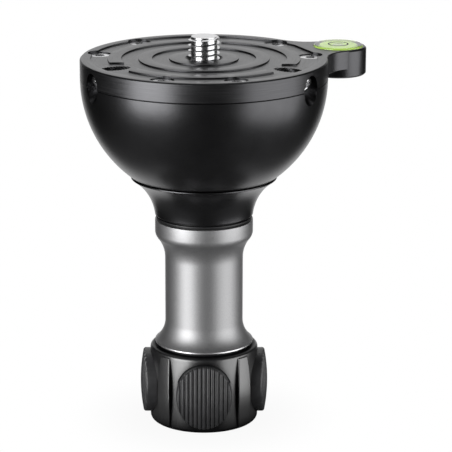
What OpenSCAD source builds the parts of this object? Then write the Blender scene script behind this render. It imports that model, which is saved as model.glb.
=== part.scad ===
// Leveling base for a camera tripod: a half ball with a head plate, clamped in the tripod's bowl
// by a knob under its handle. Millimetres, +Z up, front towards -Y, origin at the ball's centre.

/* [Half ball] */
// Radius of the half ball
ball_r = 37.5; // [36:0.5:40]
// Wall of the half ball's shell
ball_wall = 9; // [8.5:0.5:10]
// Radius of the flat under the half ball
ball_flat_r = 22.3; // [21.5:0.1:23]
// Radius of the inner boss that carries the tie rod's flange
ball_boss_r = 13; // [12.5:0.5:15]
// Height of that boss above the flat
ball_boss_h = 9; // [8:0.5:11]
// Width of the half ball's flat rim round the step that centres the top plate
seam_w = 8.5; // [8:0.1:8.8]
// Depth of that step
register_d = 2.2; // [1.5:0.1:3]
// Chamfer on both sides of the seam between plate and ball
seam_chamfer = 0.2; // [0.1:0.05:0.4]

/* [Top plate] */
// Thickness of the top plate
plate_t = 6; // [5.5:0.5:8]
// Chamfer round the plate's top edge
plate_chamfer = 0.4; // [0.2:0.1:0.8]
// Width of the plate's rim outside the channels
rim_w = 3.2; // [2.5:0.1:4]
// Width of each ring channel in the top face
channel_w = 5.2; // [4.5:0.1:5.3]
// Width of the raised rings between the channels
ring_w = 4.1; // [3.5:0.1:4.3]
// Depth of the ring channels
channel_d = 0.5; // [0.4:0.1:1]
// Radius of the round recess at each set screw
recess_r = 6.6; // [5.5:0.1:7]
// Turn of the plate's screw pattern from the front
pattern_az = -2.5; // [-10:0.5:10]

/* [Plate screws] */
// Distance of the plate screws' axes from the plate's edge
screw_inset = 4.9; // [4.5:0.1:5.5]
// Half the angle between the two screws of a pair
screw_pair_half = 19.5; // [15:0.5:24]
// Thread diameter of the plate screws
screw_d = 4; // [3:0.5:4]
// Length of their thread in the half ball
screw_reach = 8; // [6:0.5:9]
// Diameter of their heads
screw_head_d = 7; // [6:0.1:7.4]
// Height of their heads
screw_head_h = 2; // [1.6:0.1:2.4]
// Depth of the heads' tops below the channels
screw_sink = 0.3; // [0.1:0.1:1.2]
// Width across flats of their hexagon sockets
screw_key = 2.5; // [2:0.1:3]
// Depth of those sockets
screw_key_d = 1.2; // [0.8:0.1:1.4]

/* [Head stud] */
// Thread diameter of the stud that carries a head
stud_d = 9.525; // [9.45:0.005:9.6]
// Diameter of the stud's plain shank in the plate and the nut
stud_shank_d = 8; // [7.4:0.1:8.4]
// Pitch of the stud's thread
stud_pitch = 1.5875; // [1.27:0.0001:1.5875]
// Height of the stud above the plate
stud_rise = 6.6; // [5:0.1:9]
// Length of the stud's plain point
stud_point = 0.7; // [0.5:0.1:1]
// Chamfer round the stud's hole in the plate
stud_hole_chamfer = 1.7; // [1.5:0.1:2]
// Width across flats of the nut under the plate
stud_nut_key = 13; // [12:0.1:16]
// Height of that nut
stud_nut_h = 6; // [5:0.5:8]
// Diameter of the washer under the nut
stud_washer_d = 18; // [17:0.5:22]
// Thickness of that washer
stud_washer_t = 1.2; // [1:0.1:2]
// Length of stud that stands out below the nut
stud_tail = 1.6; // [1:0.1:3]

/* [Bubble level] */
// Gap between the level vial and the half ball
vial_gap = 0.3; // [0.2:0.05:2]
// Turn of the ear from the front
ear_az = 114; // [105:0.5:125]
// Radius of the ear's round boss
boss_r = 8.7; // [8.5:0.1:9.5]
// Reach of the boss below the plate
boss_drop = 2.65; // [1.5:0.05:3]
// Chamfer round the boss
boss_chamfer = 0.5; // [0.3:0.1:0.8]
// Radius of the concave fillets between ear and plate
ear_fillet_r = 10.5; // [8:0.5:10.5]
// Diameter of the level vial
vial_d = 15.2; // [14:0.1:15.4]
// Height of the vial
vial_h = 7.6; // [6:0.1:7.8]
// Height of the vial above the plate
vial_proud = 0.55; // [0.2:0.05:1]
// Wall of the vial's clear case
vial_wall = 1.7; // [1.2:0.1:2.1]
// Thickness of the case's window
vial_window_t = 1.3; // [1:0.1:1.6]
// Thickness of the plug that closes the case from below
vial_plug_t = 1.4; // [1:0.1:1.8]
// Diameter of the air bubble
bubble_d = 4.6; // [3.5:0.1:5.2]
// Height of the air bubble
bubble_h = 1; // [0.6:0.1:1.4]

/* [Set screws] */
// Thread diameter of the three set screws that lock a head
set_d = 5; // [4:0.5:5]
// Length of a set screw
set_len = 4; // [3.5:0.5:5]
// Distance from the plate's edge at which their threads come out of its top
set_exit_inset = 7.9; // [7.5:0.1:8.3]
// Diameter of the access holes in the side
set_access_d = 7.6; // [6.5:0.1:8]
// Depth of the access holes
set_access_depth = 4; // [3.5:0.1:4.5]
// Depth of a slack set screw in its access hole
set_sink = 2.1; // [2:0.1:2.4]
// Width across flats of a set screw's hexagon socket
set_key = 2.5; // [2:0.1:2.5]
// Depth of that socket
set_key_d = 1.8; // [1.2:0.1:2]
// Chamfer on a set screw's point
set_point = 0.9; // [0.5:0.1:1.2]
// Chamfer on its socket end
set_chamfer = 0.3; // [0.1:0.05:0.5]

/* [Tie rod] */
// Diameter of the tie rod
rod_d = 10; // [9:0.5:10]
// Diameter of the rod's flange in the half ball
rod_flange_d = 24; // [23:0.5:25]
// Thickness of that flange
rod_flange_t = 4; // [3.5:0.1:5]
// Radius of the circle of the flange's screws
rod_screw_circle_r = 8.6; // [8.4:0.1:8.8]
// Thread diameter of the flange's screws
rod_screw_d = 3; // [2.5:0.5:3]
// Diameter of their heads
rod_screw_head_d = 5.5; // [5:0.1:5.6]
// Height of their heads
rod_screw_head_h = 2; // [1.5:0.1:2.5]
// Length of their thread in the boss
rod_screw_reach = 6; // [4:0.5:7]
// Width across flats of their hexagon sockets
rod_screw_key = 2; // [1.5:0.1:2.5]
// Depth of those sockets
rod_screw_key_d = 1; // [0.6:0.1:1.3]
// Diameter of the stop washer at the rod's end
stop_washer_d = 16; // [13:0.5:17]
// Thickness of the stop washer
stop_washer_t = 1.2; // [1:0.1:1.5]
// Thread diameter of the screw that holds it
stop_screw_d = 4; // [3:0.5:5]
// Diameter of that screw's head
stop_screw_head_d = 7; // [6:0.5:9]
// Height of that screw's head
stop_screw_head_h = 2; // [1.5:0.1:2.4]
// Length of that screw's thread in the rod
stop_screw_reach = 8; // [6:0.5:12]
// Width across flats of that screw's hexagon socket
stop_screw_key = 2; // [1.5:0.1:2.5]
// Depth of that socket
stop_screw_key_d = 1; // [0.6:0.1:1.3]

/* [Clamp cup] */
// Radius of the clamp cup's rim
clamp_rim_r = 22.4; // [21.5:0.1:23]
// Height of the rim's straight band
clamp_rim_h = 0.4; // [0.3:0.1:1]
// Height of the clamp cup
clamp_h = 12.15; // [11:0.05:13]
// Radius of the cup's waist
clamp_waist_r = 14.95; // [14.5:0.05:15.5]
// Radius of the cup's concave flare
clamp_flare_r = 16; // [15:0.1:18]
// Chamfer round the cup's foot
clamp_foot_chamfer = 0.3; // [0.1:0.05:0.5]
// Inner radius of the friction liner on the cup
liner_in_r = 15.5; // [14:0.1:17]
// Outer radius of the friction liner
liner_out_r = 19.8; // [19:0.1:20]
// Thickness of the friction liner
liner_t = 1; // [0.6:0.1:1.1]

/* [Handle] */
// Length of the handle sleeve
handle_len = 39.4; // [35:0.1:60]
// Radius of the band at the handle's top
handle_top_r = 15.05; // [14.5:0.05:16]
// Height of that band
handle_band_h = 3.8; // [2:0.1:5]
// Radius of the convex shoulder under the band
handle_shoulder_r = 3.2; // [2.5:0.1:5]
// Radius of the concave curve from the shoulder to the waist
handle_hollow_r = 10.5; // [8:0.1:12]
// Radius of the handle's waist
handle_waist_r = 12; // [11.5:0.1:12.5]
// Radius of the lip at the handle's lower end
handle_lip_r = 15.15; // [14.6:0.05:15.4]
// Height of the lip's straight edge
handle_lip_h = 0.5; // [0.3:0.1:1]
// Radius of the flare above the lip
handle_flare_r = 8.5; // [7:0.1:10]
// Bore of the handle between its bushes
handle_bore_r = 7.5; // [6.5:0.1:8]
// Outer radius of the bushes
bush_r = 9; // [8.6:0.1:9.4]
// Length of the upper bush in the handle
upper_bush_len = 10; // [8:0.5:12]
// Distance of the upper bush's flange from the handle's edge
bush_flange_inset = 1.25; // [0.8:0.05:2]
// Thickness of that flange
bush_flange_t = 1.5; // [1.2:0.1:2]
// Distance of the bead round that flange from the handle's edge
bush_bead_inset = 0.25; // [0.05:0.05:0.6]
// Thickness of the bead
bush_bead_t = 0.5; // [0.3:0.1:0.8]
// Height of the upper bush's spigot in the clamp cup
spigot_h = 4; // [3:0.1:4.5]
// Length of the lower bush
lower_bush_len = 8; // [6:0.5:12]
// Distance of the thrust washer's edge from the handle's lip
thrust_inset = 1.1; // [0.7:0.1:2.2]
// Thickness of the thrust washer
thrust_t = 0.9; // [0.6:0.1:1.2]

/* [Knob] */
// Height of the knob
knob_h = 24.2; // [23.8:0.1:30]
// Radius of the knob's body
knob_r = 16.7; // [16.2:0.1:17.2]
// Fillet round the knob's shoulder
knob_shoulder_r = 1.1; // [0.8:0.1:1.3]
// Fillet round the knob's lower edge
knob_foot_r = 1.2; // [0.6:0.1:1.6]
// Thickness of the knob's web over the thread insert
knob_web_t = 2; // [1.5:0.1:3]
// Travel of the knob from clamped to loose
knob_travel = 8; // [6:0.5:8.5]
// Radius of the thread insert
insert_r = 8; // [7.5:0.1:8.4]
// Length of the thread insert above its flange
insert_len = 5.6; // [5:0.1:5.8]
// Radius of the insert's flange
insert_flange_r = 9.3; // [9:0.1:9.5]
// Thickness of the insert's flange
insert_flange_t = 2; // [1.5:0.1:2.2]
// Radius of the hollow under the insert
knob_hollow_r = 9.6; // [9.6:0.1:10.5]
// Radius of the cap under the knob
cap_r = 12; // [11:0.1:13]
// Thickness of the cap
cap_t = 1.8; // [1.2:0.1:2]
// Depth of the cap in the knob's foot
cap_sink = 0.3; // [0.1:0.1:0.6]
// Height of the four ridges' middles above the knob
ridge_rise = 1.3; // [0.9:0.05:1.6]
// Width of a ridge at its middle
ridge_w = 5.2; // [4.8:0.1:5.6]
// Width of a ridge at its ends
ridge_end_w = 3.8; // [3:0.1:4.4]
// Height of a ridge
ridge_h = 22.4; // [20:0.1:22.6]
// Height of a ridge's ends above the knob
ridge_step = 0.4; // [0.2:0.05:0.6]

/* [Grip pads] */
// Reach of the grip pads from the axis
pad_reach = 19.8; // [19:0.1:20.5]
// Half the width of a pad
pad_half_w = 8.55; // [8:0.05:9]
// Half the height of a pad
pad_half_h = 10.1; // [9.8:0.05:10.4]
// Radius of the curves at a pad's top and bottom
pad_end_r = 7.9; // [7.2:0.1:7.9]
// Radius of a pad's face from top to bottom
pad_dome_r = 53; // [40:1:80]
// Distance of a pad's seat from the axis
pad_seat = 14.6; // [14:0.1:15]
// Number of ribs on a pad
pad_ribs = 13; // [9:2:15]
// Depth of the grooves between the ribs
pad_rib_d = 0.55; // [0.3:0.05:0.8]

/* [Fits] */
// Gap between the half ball and the clamp cup
seat_gap = 0.3; // [0.2:0.05:0.6]
// Radial clearance of parts that turn or slide on each other
run_fit = 0.06; // [0.03:0.01:0.09]
// Radial clearance of parts that are fixed in each other
set_fit = 0.05; // [0.02:0.01:0.1]
// Radial clearance round screw shanks and heads
screw_gap = 0.2; // [0.1:0.05:0.3]
// Radial clearance round the tie rod where it isn't guided
rod_gap = 0.4; // [0.3:0.05:0.6]

/* [Hidden] */
$fn = 96;
// Reach of cuts past the faces they open
cut = 1;
// Depth to which the ear's fillets cut into plate and boss, so that they cross and don't just touch
fillet_bite = 0.1;
// Places that repeat round the plate and the knob
pair_count = 3;
channel_count = 3;
rod_screw_count = 3;
grip_count = 4;
pair_step = 360 / pair_count;
grip_step = 360 / grip_count;
full_turn = 360;
right_angle = 90;
hex = 6;

// Levels of the plate, and what is placed from its edge
channel_z = plate_t - channel_d;
channel_out_r = ball_r - rim_w;
land_r = channel_out_r - channel_count * channel_w - (channel_count - 1) * ring_w;
register_r = ball_r - seam_w;
screw_circle_r = ball_r - screw_inset;
set_exit_r = ball_r - set_exit_inset;
ear_r = ball_r + vial_d / 2 + vial_gap;
screw_head_top_z = channel_z - screw_sink;
screw_head_low_z = screw_head_top_z - screw_head_h;
stud_top_z = plate_t + stud_rise;
stud_hole_r = stud_shank_d / 2 + set_fit;
spigot_low_z = -(register_d - screw_gap);
washer_low_z = spigot_low_z - stud_washer_t;
nut_low_z = washer_low_z - stud_nut_h;
stud_low_z = nut_low_z - stud_tail;
vial_top_z = plate_t + vial_proud;
vial_low_z = vial_top_z - vial_h;

// Levels of the half ball and of what hangs on it, from the top down
ball_flat_z = -sqrt(pow(ball_r, 2) - pow(ball_flat_r, 2));
flange_low_z = ball_flat_z + ball_boss_h;
flange_top_z = flange_low_z + rod_flange_t;
clamp_top_z = ball_flat_z - seat_gap;
rim_low_z = clamp_top_z - clamp_rim_h;
clamp_low_z = clamp_top_z - clamp_h;
handle_top_z = clamp_low_z - bush_flange_t;
handle_low_z = handle_top_z - handle_len;
knob_top_z = handle_low_z - thrust_t;
knob_low_z = knob_top_z - knob_h;
knob_mid_z = (knob_top_z + knob_low_z) / 2;
insert_top_z = knob_top_z - knob_web_t;
insert_flange_z = insert_top_z - insert_len;
insert_low_z = insert_flange_z - insert_flange_t;
rod_low_z = insert_low_z - knob_travel - rod_gap;
stop_washer_low_z = rod_low_z - stop_washer_t;
stop_head_low_z = stop_washer_low_z - stop_screw_head_h;
cap_low_z = knob_low_z + cap_sink;
cap_top_z = cap_low_z + cap_t;
rod_r = rod_d / 2;

// Slope of the set screws, from the middle of the seam up to their exits
set_slope = atan2(channel_z, set_exit_inset);
set_axis_len = channel_z / sin(set_slope);

// Centre of the clamp cup's flare, which starts at the rim's lower edge
clamp_flare_x = clamp_waist_r + clamp_flare_r;
clamp_flare_z = rim_low_z - sqrt(pow(clamp_flare_r, 2) - pow(clamp_flare_x - clamp_rim_r, 2));
clamp_foot_r = clamp_flare_x - sqrt(pow(clamp_flare_r, 2) - pow(clamp_low_z - clamp_flare_z, 2));

// Centres of the concave fillets beside the ear
fillet_reach = ear_fillet_r - fillet_bite;
fillet_x = (pow(ball_r + fillet_reach, 2) + pow(ear_r, 2) - pow(boss_r + fillet_reach, 2)) / (2 * ear_r);
fillet_y = sqrt(pow(ball_r + fillet_reach, 2) - pow(fillet_x, 2));

// The handle's curves: the shoulder's and the hollow's centres and the point where they meet
band_low_z = handle_top_z - handle_band_h;
curve_sum = handle_shoulder_r + handle_hollow_r;
curve_step = handle_top_r - handle_waist_r;
curve_drop = sqrt(pow(curve_sum, 2) - pow(curve_sum - curve_step, 2));
hollow_z = band_low_z - curve_drop;
meet_share = handle_shoulder_r / curve_sum;
meet_r = handle_top_r - handle_shoulder_r + meet_share * (curve_sum - curve_step);
meet_z = band_low_z - meet_share * curve_drop;
lip_top_z = handle_low_z + handle_lip_h;
flare_rise = sqrt(pow(handle_flare_r, 2) - pow(handle_flare_r - (handle_lip_r - handle_waist_r), 2));
flare_z = lip_top_z + flare_rise;

// The rings above and below the handle, which follow its ends
bush_flange_r = handle_top_r - bush_flange_inset;
bush_bead_r = handle_top_r - bush_bead_inset;
thrust_r = handle_lip_r - thrust_inset;

// The arch of a ridge's crest and the two arcs of its lens-shaped outline
ridge_reach = knob_r + ridge_rise;
ridge_bulge = ridge_rise - ridge_step;
ridge_arch_r = (pow(ridge_h / 2, 2) + pow(ridge_bulge, 2)) / (2 * ridge_bulge);
ridge_taper = (ridge_w - ridge_end_w) / 2;
ridge_side_r = (pow(ridge_h / 2, 2) + pow(ridge_taper, 2)) / (2 * ridge_taper);

// The pad's oval: two end circles and two wide side circles that touch them
pad_end_z = pad_half_h - pad_end_r;
pad_nip = pad_half_w - pad_end_r;
pad_side_x = (pow(pad_end_z, 2) - pow(pad_nip, 2)) / (2 * pad_nip);
pad_side_r = pad_half_w + pad_side_x;
pad_touch_z = pad_side_r * pad_end_z / norm([pad_side_x, pad_end_z]);
pad_pitch = 2 * pad_half_w / pad_ribs;
pad_swing = 2 * asin((pad_half_h + cut) / pad_dome_r);
// Half widths of a rib at its root and at its crest, as shares of the pitch
rib_root = 0.42;
rib_crest = 0.24;

// Shares of the pitch that the stud's thread gives to its crests and roots
crest_share = 1 / 8;
root_share = 1 / 4;
thread_share = 0.6134;
stud_turns = floor((stud_rise - stud_point + stud_hole_chamfer) / stud_pitch);

black = "#1d1e20";
rubber = "#17181a";
silver = "#a9aaac";
steel = "#cfd0d2";
brass = "#b8944a";
nylon = "#101112";
clear = "#dfe9e4";
lime = "#b6dc4f";
cream = "#e8eee0";

// Turns something built along +X to an azimuth, counted from the front towards +X
module face_to(az) {
    rotate([0, 0, az - right_angle])
        children();
}

// Repeats something at the six plate screws
module at_plate_screws() {
    for (i = [0 : pair_count - 1], side = [-1, 1])
        face_to(pattern_az + i * pair_step + side * screw_pair_half)
            translate([screw_circle_r, 0, 0])
                children();
}

// Puts something on a set screw's axis, with +Z running in and up from the middle of the seam
module on_set_axis(az) {
    face_to(az)
        translate([ball_r, 0, 0])
            rotate([0, set_slope - right_angle, 0])
                children();
}

function set_az(i) = pattern_az + pair_step / 2 + i * pair_step;

// Repeats something at the tie rod flange's screws
module at_rod_screws() {
    for (i = [0 : rod_screw_count - 1])
        face_to(pattern_az + i * full_turn / rod_screw_count)
            translate([rod_screw_circle_r, 0, 0])
                children();
}

// A hexagon socket's cutter, standing on the level z
module key_socket(across, depth, z) {
    translate([0, 0, z])
        cylinder(d = across / cos(full_turn / hex / 2), h = depth, $fn = hex);
}

// Outline of the ear's neck, with its two concave fillets
module neck_outline() {
    difference() {
        polygon([[0, 0], [fillet_x, fillet_y], [ear_r, 0], [fillet_x, -fillet_y]]);
        for (side = [-1, 1])
            translate([fillet_x, side * fillet_y])
                circle(r = ear_fillet_r);
    }
}

// Half section of a disc from z_low to z_high with chamfered edges
module chamfered_section(r, z_low, z_high, low_chamfer, high_chamfer) {
    polygon([
        [0, z_low], [r - low_chamfer, z_low], [r, z_low + low_chamfer],
        [r, z_high - high_chamfer], [r - high_chamfer, z_high], [0, z_high]
    ]);
}

// The ear: boss and neck, kept clear of the half ball
module ear() {
    face_to(ear_az) {
        linear_extrude(plate_t)
            neck_outline();
        difference() {
            translate([ear_r, 0, 0])
                rotate_extrude()
                    chamfered_section(boss_r, -boss_drop, plate_t, boss_chamfer, boss_chamfer);
            difference() {
                sphere(r = ball_r + screw_gap);
                translate([-2 * ball_r, -2 * ball_r, 0])
                    cube(4 * ball_r);
            }
        }
    }
}

// Outline of the ring channels in the plate's top face, with the recesses at the set screws
module channel_outline() {
    for (i = [0 : channel_count - 1]) {
        inner_r = land_r + i * (channel_w + ring_w);
        difference() {
            circle(r = inner_r + channel_w);
            circle(r = inner_r);
        }
    }
    for (i = [0 : pair_count - 1])
        intersection() {
            face_to(set_az(i))
                translate([set_exit_r, 0])
                    circle(r = recess_r);
            circle(r = channel_out_r);
        }
}

module plate_channels() {
    translate([0, 0, channel_z])
        linear_extrude(channel_d + cut)
            channel_outline();
}

// The inclined access hole and thread of a set screw
module set_screw_hole() {
    translate([0, 0, -set_access_d])
        cylinder(d = set_access_d, h = set_access_d + set_access_depth);
    cylinder(r = set_d / 2 + run_fit, h = set_axis_len + 2 * set_d);
}

module top_plate() {
    chamfer_reach = stud_hole_chamfer + cut;
    color(black)
        difference() {
            union() {
                rotate_extrude()
                    chamfered_section(ball_r, 0, plate_t, seam_chamfer, plate_chamfer);
                translate([0, 0, spigot_low_z])
                    cylinder(r = register_r - set_fit, h = -spigot_low_z + plate_t / 2);
                ear();
            }
            plate_channels();
            at_plate_screws() {
                translate([0, 0, screw_head_low_z])
                    cylinder(r = screw_head_d / 2 + screw_gap, h = plate_t);
                translate([0, 0, -cut])
                    cylinder(r = screw_d / 2 + screw_gap, h = plate_t);
            }
            for (i = [0 : pair_count - 1])
                on_set_axis(set_az(i))
                    set_screw_hole();
            translate([0, 0, spigot_low_z - cut])
                cylinder(r = stud_hole_r, h = plate_t - spigot_low_z + 2 * cut);
            translate([0, 0, plate_t - stud_hole_chamfer])
                cylinder(r1 = stud_hole_r, r2 = stud_hole_r + chamfer_reach, h = chamfer_reach);
            face_to(ear_az)
                translate([ear_r, 0, vial_low_z])
                    cylinder(r = vial_d / 2 + set_fit, h = vial_h + cut);
        }
}

module half_ball_section() {
    difference() {
        intersection() {
            circle(r = ball_r);
            translate([0, ball_flat_z])
                square([ball_r, -ball_flat_z]);
        }
        difference() {
            union() {
                circle(r = ball_r - ball_wall);
                translate([0, -register_d])
                    square([register_r, register_d + cut]);
            }
            translate([-cut, ball_flat_z])
                square([ball_boss_r + cut, ball_boss_h]);
        }
        translate([-cut, ball_flat_z - cut])
            square([cut + rod_r + set_fit, ball_boss_h + 2 * cut]);
        translate([ball_r, 0])
            rotate(right_angle / 2)
                square(norm([seam_chamfer, seam_chamfer]), center = true);
    }
}

module half_ball() {
    color(black)
        difference() {
            rotate_extrude()
                half_ball_section();
            at_plate_screws()
                translate([0, 0, -screw_reach - cut])
                    cylinder(r = screw_d / 2 + set_fit, h = screw_reach + 2 * cut);
            for (i = [0 : pair_count - 1])
                on_set_axis(set_az(i))
                    set_screw_hole();
            at_rod_screws()
                translate([0, 0, flange_low_z - rod_screw_reach - cut])
                    cylinder(r = rod_screw_d / 2 + set_fit, h = rod_screw_reach + 2 * cut);
        }
}

module plate_screws() {
    color(steel)
        at_plate_screws()
            difference() {
                union() {
                    translate([0, 0, screw_head_low_z])
                        cylinder(d = screw_head_d, h = screw_head_h);
                    translate([0, 0, -screw_reach])
                        cylinder(d = screw_d, h = screw_reach + screw_head_low_z);
                }
                key_socket(screw_key, screw_key_d + cut, screw_head_top_z - screw_key_d);
            }
}

// Half section of the stud: a plain shank, and a thread drawn as rings at its pitch
module stud_section() {
    crest_r = stud_d / 2;
    root_r = crest_r - thread_share * stud_pitch;
    thread_low_z = stud_top_z - stud_point - stud_turns * stud_pitch;
    polygon(concat(
        [[0, stud_low_z], [stud_shank_d / 2, stud_low_z]],
        [[stud_shank_d / 2, thread_low_z], [root_r, thread_low_z]],
        [for (i = [0 : stud_turns - 1], p = [
            [root_r, root_share / 2],
            [crest_r, (1 - crest_share) / 2],
            [crest_r, (1 + crest_share) / 2],
            [root_r, 1 - root_share / 2]
        ]) [p[0], thread_low_z + (i + p[1]) * stud_pitch]],
        [[root_r, stud_top_z], [0, stud_top_z]]
    ));
}

module head_stud() {
    color(steel)
        rotate_extrude()
            stud_section();
}

module stud_washer() {
    color(steel)
        translate([0, 0, washer_low_z])
            difference() {
                cylinder(d = stud_washer_d, h = stud_washer_t);
                translate([0, 0, -cut])
                    cylinder(r = stud_shank_d / 2 + screw_gap, h = stud_washer_t + 2 * cut);
            }
}

module stud_nut() {
    color(steel)
        translate([0, 0, nut_low_z])
            difference() {
                key_socket(stud_nut_key, stud_nut_h, 0);
                translate([0, 0, -cut])
                    cylinder(r = stud_hole_r, h = stud_nut_h + 2 * cut);
            }
}

// Puts something on the ear's axis
module on_ear() {
    face_to(ear_az)
        translate([ear_r, 0, 0])
            children();
}

module level_case() {
    color(clear)
        on_ear()
            difference() {
                translate([0, 0, vial_low_z])
                    cylinder(d = vial_d, h = vial_h);
                translate([0, 0, vial_low_z - cut])
                    cylinder(d = vial_d - 2 * vial_wall, h = vial_h - vial_window_t + cut);
            }
}

// The bubble's half section: a flat cap with a round edge, hanging from the level z
module bubble_section(z) {
    edge_r = bubble_h / 2;
    translate([-cut, z - bubble_h])
        square([cut + bubble_d / 2 - edge_r, bubble_h + cut]);
    translate([bubble_d / 2 - edge_r, z - edge_r])
        circle(r = edge_r);
}

module level_fluid() {
    fluid_low_z = vial_low_z + vial_plug_t;
    fluid_top_z = vial_top_z - vial_window_t;
    color(lime)
        on_ear()
            rotate_extrude()
                difference() {
                    translate([0, fluid_low_z])
                        square([vial_d / 2 - vial_wall - set_fit, fluid_top_z - fluid_low_z]);
                    bubble_section(fluid_top_z);
                }
}

module level_plug() {
    color(cream)
        on_ear()
            translate([0, 0, vial_low_z])
                cylinder(r = vial_d / 2 - vial_wall - set_fit, h = vial_plug_t);
}

// One set screw, slack in its hole
module set_screw(i) {
    color(steel)
        on_set_axis(set_az(i))
            translate([0, 0, set_sink])
                difference() {
                    rotate_extrude()
                        chamfered_section(set_d / 2, 0, set_len, set_chamfer, set_point);
                    key_socket(set_key, set_key_d + cut, -cut);
                }
}

module set_screw_right() {
    set_screw(0);
}

module set_screw_rear() {
    set_screw(1);
}

module set_screw_left() {
    set_screw(2);
}

module tie_rod() {
    color(steel)
        difference() {
            union() {
                translate([0, 0, flange_low_z])
                    cylinder(d = rod_flange_d, h = rod_flange_t);
                translate([0, 0, rod_low_z])
                    cylinder(d = rod_d, h = flange_top_z - rod_low_z);
            }
            at_rod_screws() {
                translate([0, 0, flange_top_z - rod_screw_head_h])
                    cylinder(r = rod_screw_head_d / 2 + screw_gap, h = rod_screw_head_h + cut);
                translate([0, 0, flange_low_z - cut])
                    cylinder(r = rod_screw_d / 2 + screw_gap, h = rod_flange_t + 2 * cut);
            }
            translate([0, 0, rod_low_z - cut])
                cylinder(r = stop_screw_d / 2 + set_fit, h = stop_screw_reach + 2 * cut);
        }
}

module rod_screws() {
    color(steel)
        at_rod_screws()
            difference() {
                union() {
                    translate([0, 0, flange_top_z - rod_screw_head_h])
                        cylinder(d = rod_screw_head_d, h = rod_screw_head_h);
                    translate([0, 0, flange_low_z - rod_screw_reach])
                        cylinder(d = rod_screw_d, h = rod_screw_reach + rod_flange_t - rod_screw_head_h);
                }
                key_socket(rod_screw_key, rod_screw_key_d + cut, flange_top_z - rod_screw_key_d);
            }
}

module stop_washer() {
    color(steel)
        translate([0, 0, stop_washer_low_z])
            difference() {
                cylinder(d = stop_washer_d, h = stop_washer_t);
                translate([0, 0, -cut])
                    cylinder(r = stop_screw_d / 2 + screw_gap, h = stop_washer_t + 2 * cut);
            }
}

module stop_screw() {
    color(steel)
        difference() {
            union() {
                translate([0, 0, stop_head_low_z])
                    cylinder(d = stop_screw_head_d, h = stop_screw_head_h);
                translate([0, 0, stop_head_low_z])
                    cylinder(d = stop_screw_d, h = rod_low_z + stop_screw_reach - stop_head_low_z);
            }
            key_socket(stop_screw_key, stop_screw_key_d + cut, stop_head_low_z - cut);
        }
}

// Half section of the clamp cup's outside
module clamp_outline() {
    difference() {
        chamfered_section(clamp_rim_r, clamp_low_z, clamp_top_z, 0, 0);
        translate([clamp_flare_x, clamp_flare_z])
            circle(r = clamp_flare_r);
        translate([clamp_foot_r, clamp_low_z])
            rotate(right_angle / 2)
                square(norm([clamp_foot_chamfer, clamp_foot_chamfer]), center = true);
    }
}

// Section of the ring that the friction liner fills, eased by gap at its sides
module liner_section(gap) {
    translate([liner_in_r + gap, clamp_top_z - liner_t])
        square([liner_out_r - liner_in_r - 2 * gap, liner_t]);
}

module clamp_cup() {
    color(black)
        rotate_extrude()
            difference() {
                clamp_outline();
                liner_section(0);
                translate([-cut, clamp_low_z - cut])
                    square([cut + bush_r + run_fit, cut + spigot_h + rod_gap]);
                translate([-cut, clamp_low_z - cut])
                    square([cut + rod_r + rod_gap, clamp_h + 2 * cut]);
            }
}

module clamp_liner() {
    color(rubber)
        rotate_extrude()
            liner_section(set_fit);
}

// Half section of the handle's outside: core, band, shoulder, hollow, flare and lip
module handle_outline() {
    translate([0, handle_low_z])
        square([handle_waist_r, handle_len]);
    translate([0, band_low_z])
        square([handle_top_r, handle_band_h]);
    intersection() {
        translate([handle_top_r - handle_shoulder_r, band_low_z])
            circle(r = handle_shoulder_r);
        translate([0, meet_z])
            square([handle_top_r, band_low_z - meet_z + handle_band_h / 2]);
    }
    difference() {
        translate([0, hollow_z])
            square([meet_r, band_low_z - hollow_z]);
        translate([handle_waist_r + handle_hollow_r, hollow_z])
            circle(r = handle_hollow_r);
    }
    difference() {
        translate([0, handle_low_z])
            square([handle_lip_r, flare_z - handle_low_z]);
        translate([handle_waist_r + handle_flare_r, flare_z])
            circle(r = handle_flare_r);
    }
}

module handle_sleeve() {
    color(silver)
        rotate_extrude()
            difference() {
                handle_outline();
                translate([-cut, handle_low_z - cut])
                    square([cut + handle_bore_r, handle_len + 2 * cut]);
                translate([-cut, handle_top_z - upper_bush_len])
                    square([cut + bush_r + set_fit, upper_bush_len + cut]);
                translate([-cut, handle_low_z - cut])
                    square([cut + bush_r + set_fit, lower_bush_len + cut]);
            }
}

module upper_bush() {
    bush_in_r = rod_r + run_fit;
    color(nylon)
        rotate_extrude() {
            translate([bush_in_r, handle_top_z - upper_bush_len])
                square([bush_r - bush_in_r, upper_bush_len + bush_flange_t + spigot_h]);
            translate([bush_in_r, handle_top_z])
                square([bush_flange_r - bush_in_r, bush_flange_t]);
            translate([bush_in_r, handle_top_z + (bush_flange_t - bush_bead_t) / 2])
                square([bush_bead_r - bush_in_r, bush_bead_t]);
        }
}

// A plain ring about the axis, standing on the level z
module ring(in_r, out_r, z, h) {
    translate([0, 0, z])
        difference() {
            cylinder(r = out_r, h = h);
            translate([0, 0, -cut])
                cylinder(r = in_r, h = h + 2 * cut);
        }
}

module lower_bush() {
    color(nylon)
        ring(rod_r + run_fit, bush_r, handle_low_z, lower_bush_len);
}

module thrust_washer() {
    color(nylon)
        ring(rod_r + rod_gap, thrust_r, knob_top_z, thrust_t);
}

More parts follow.
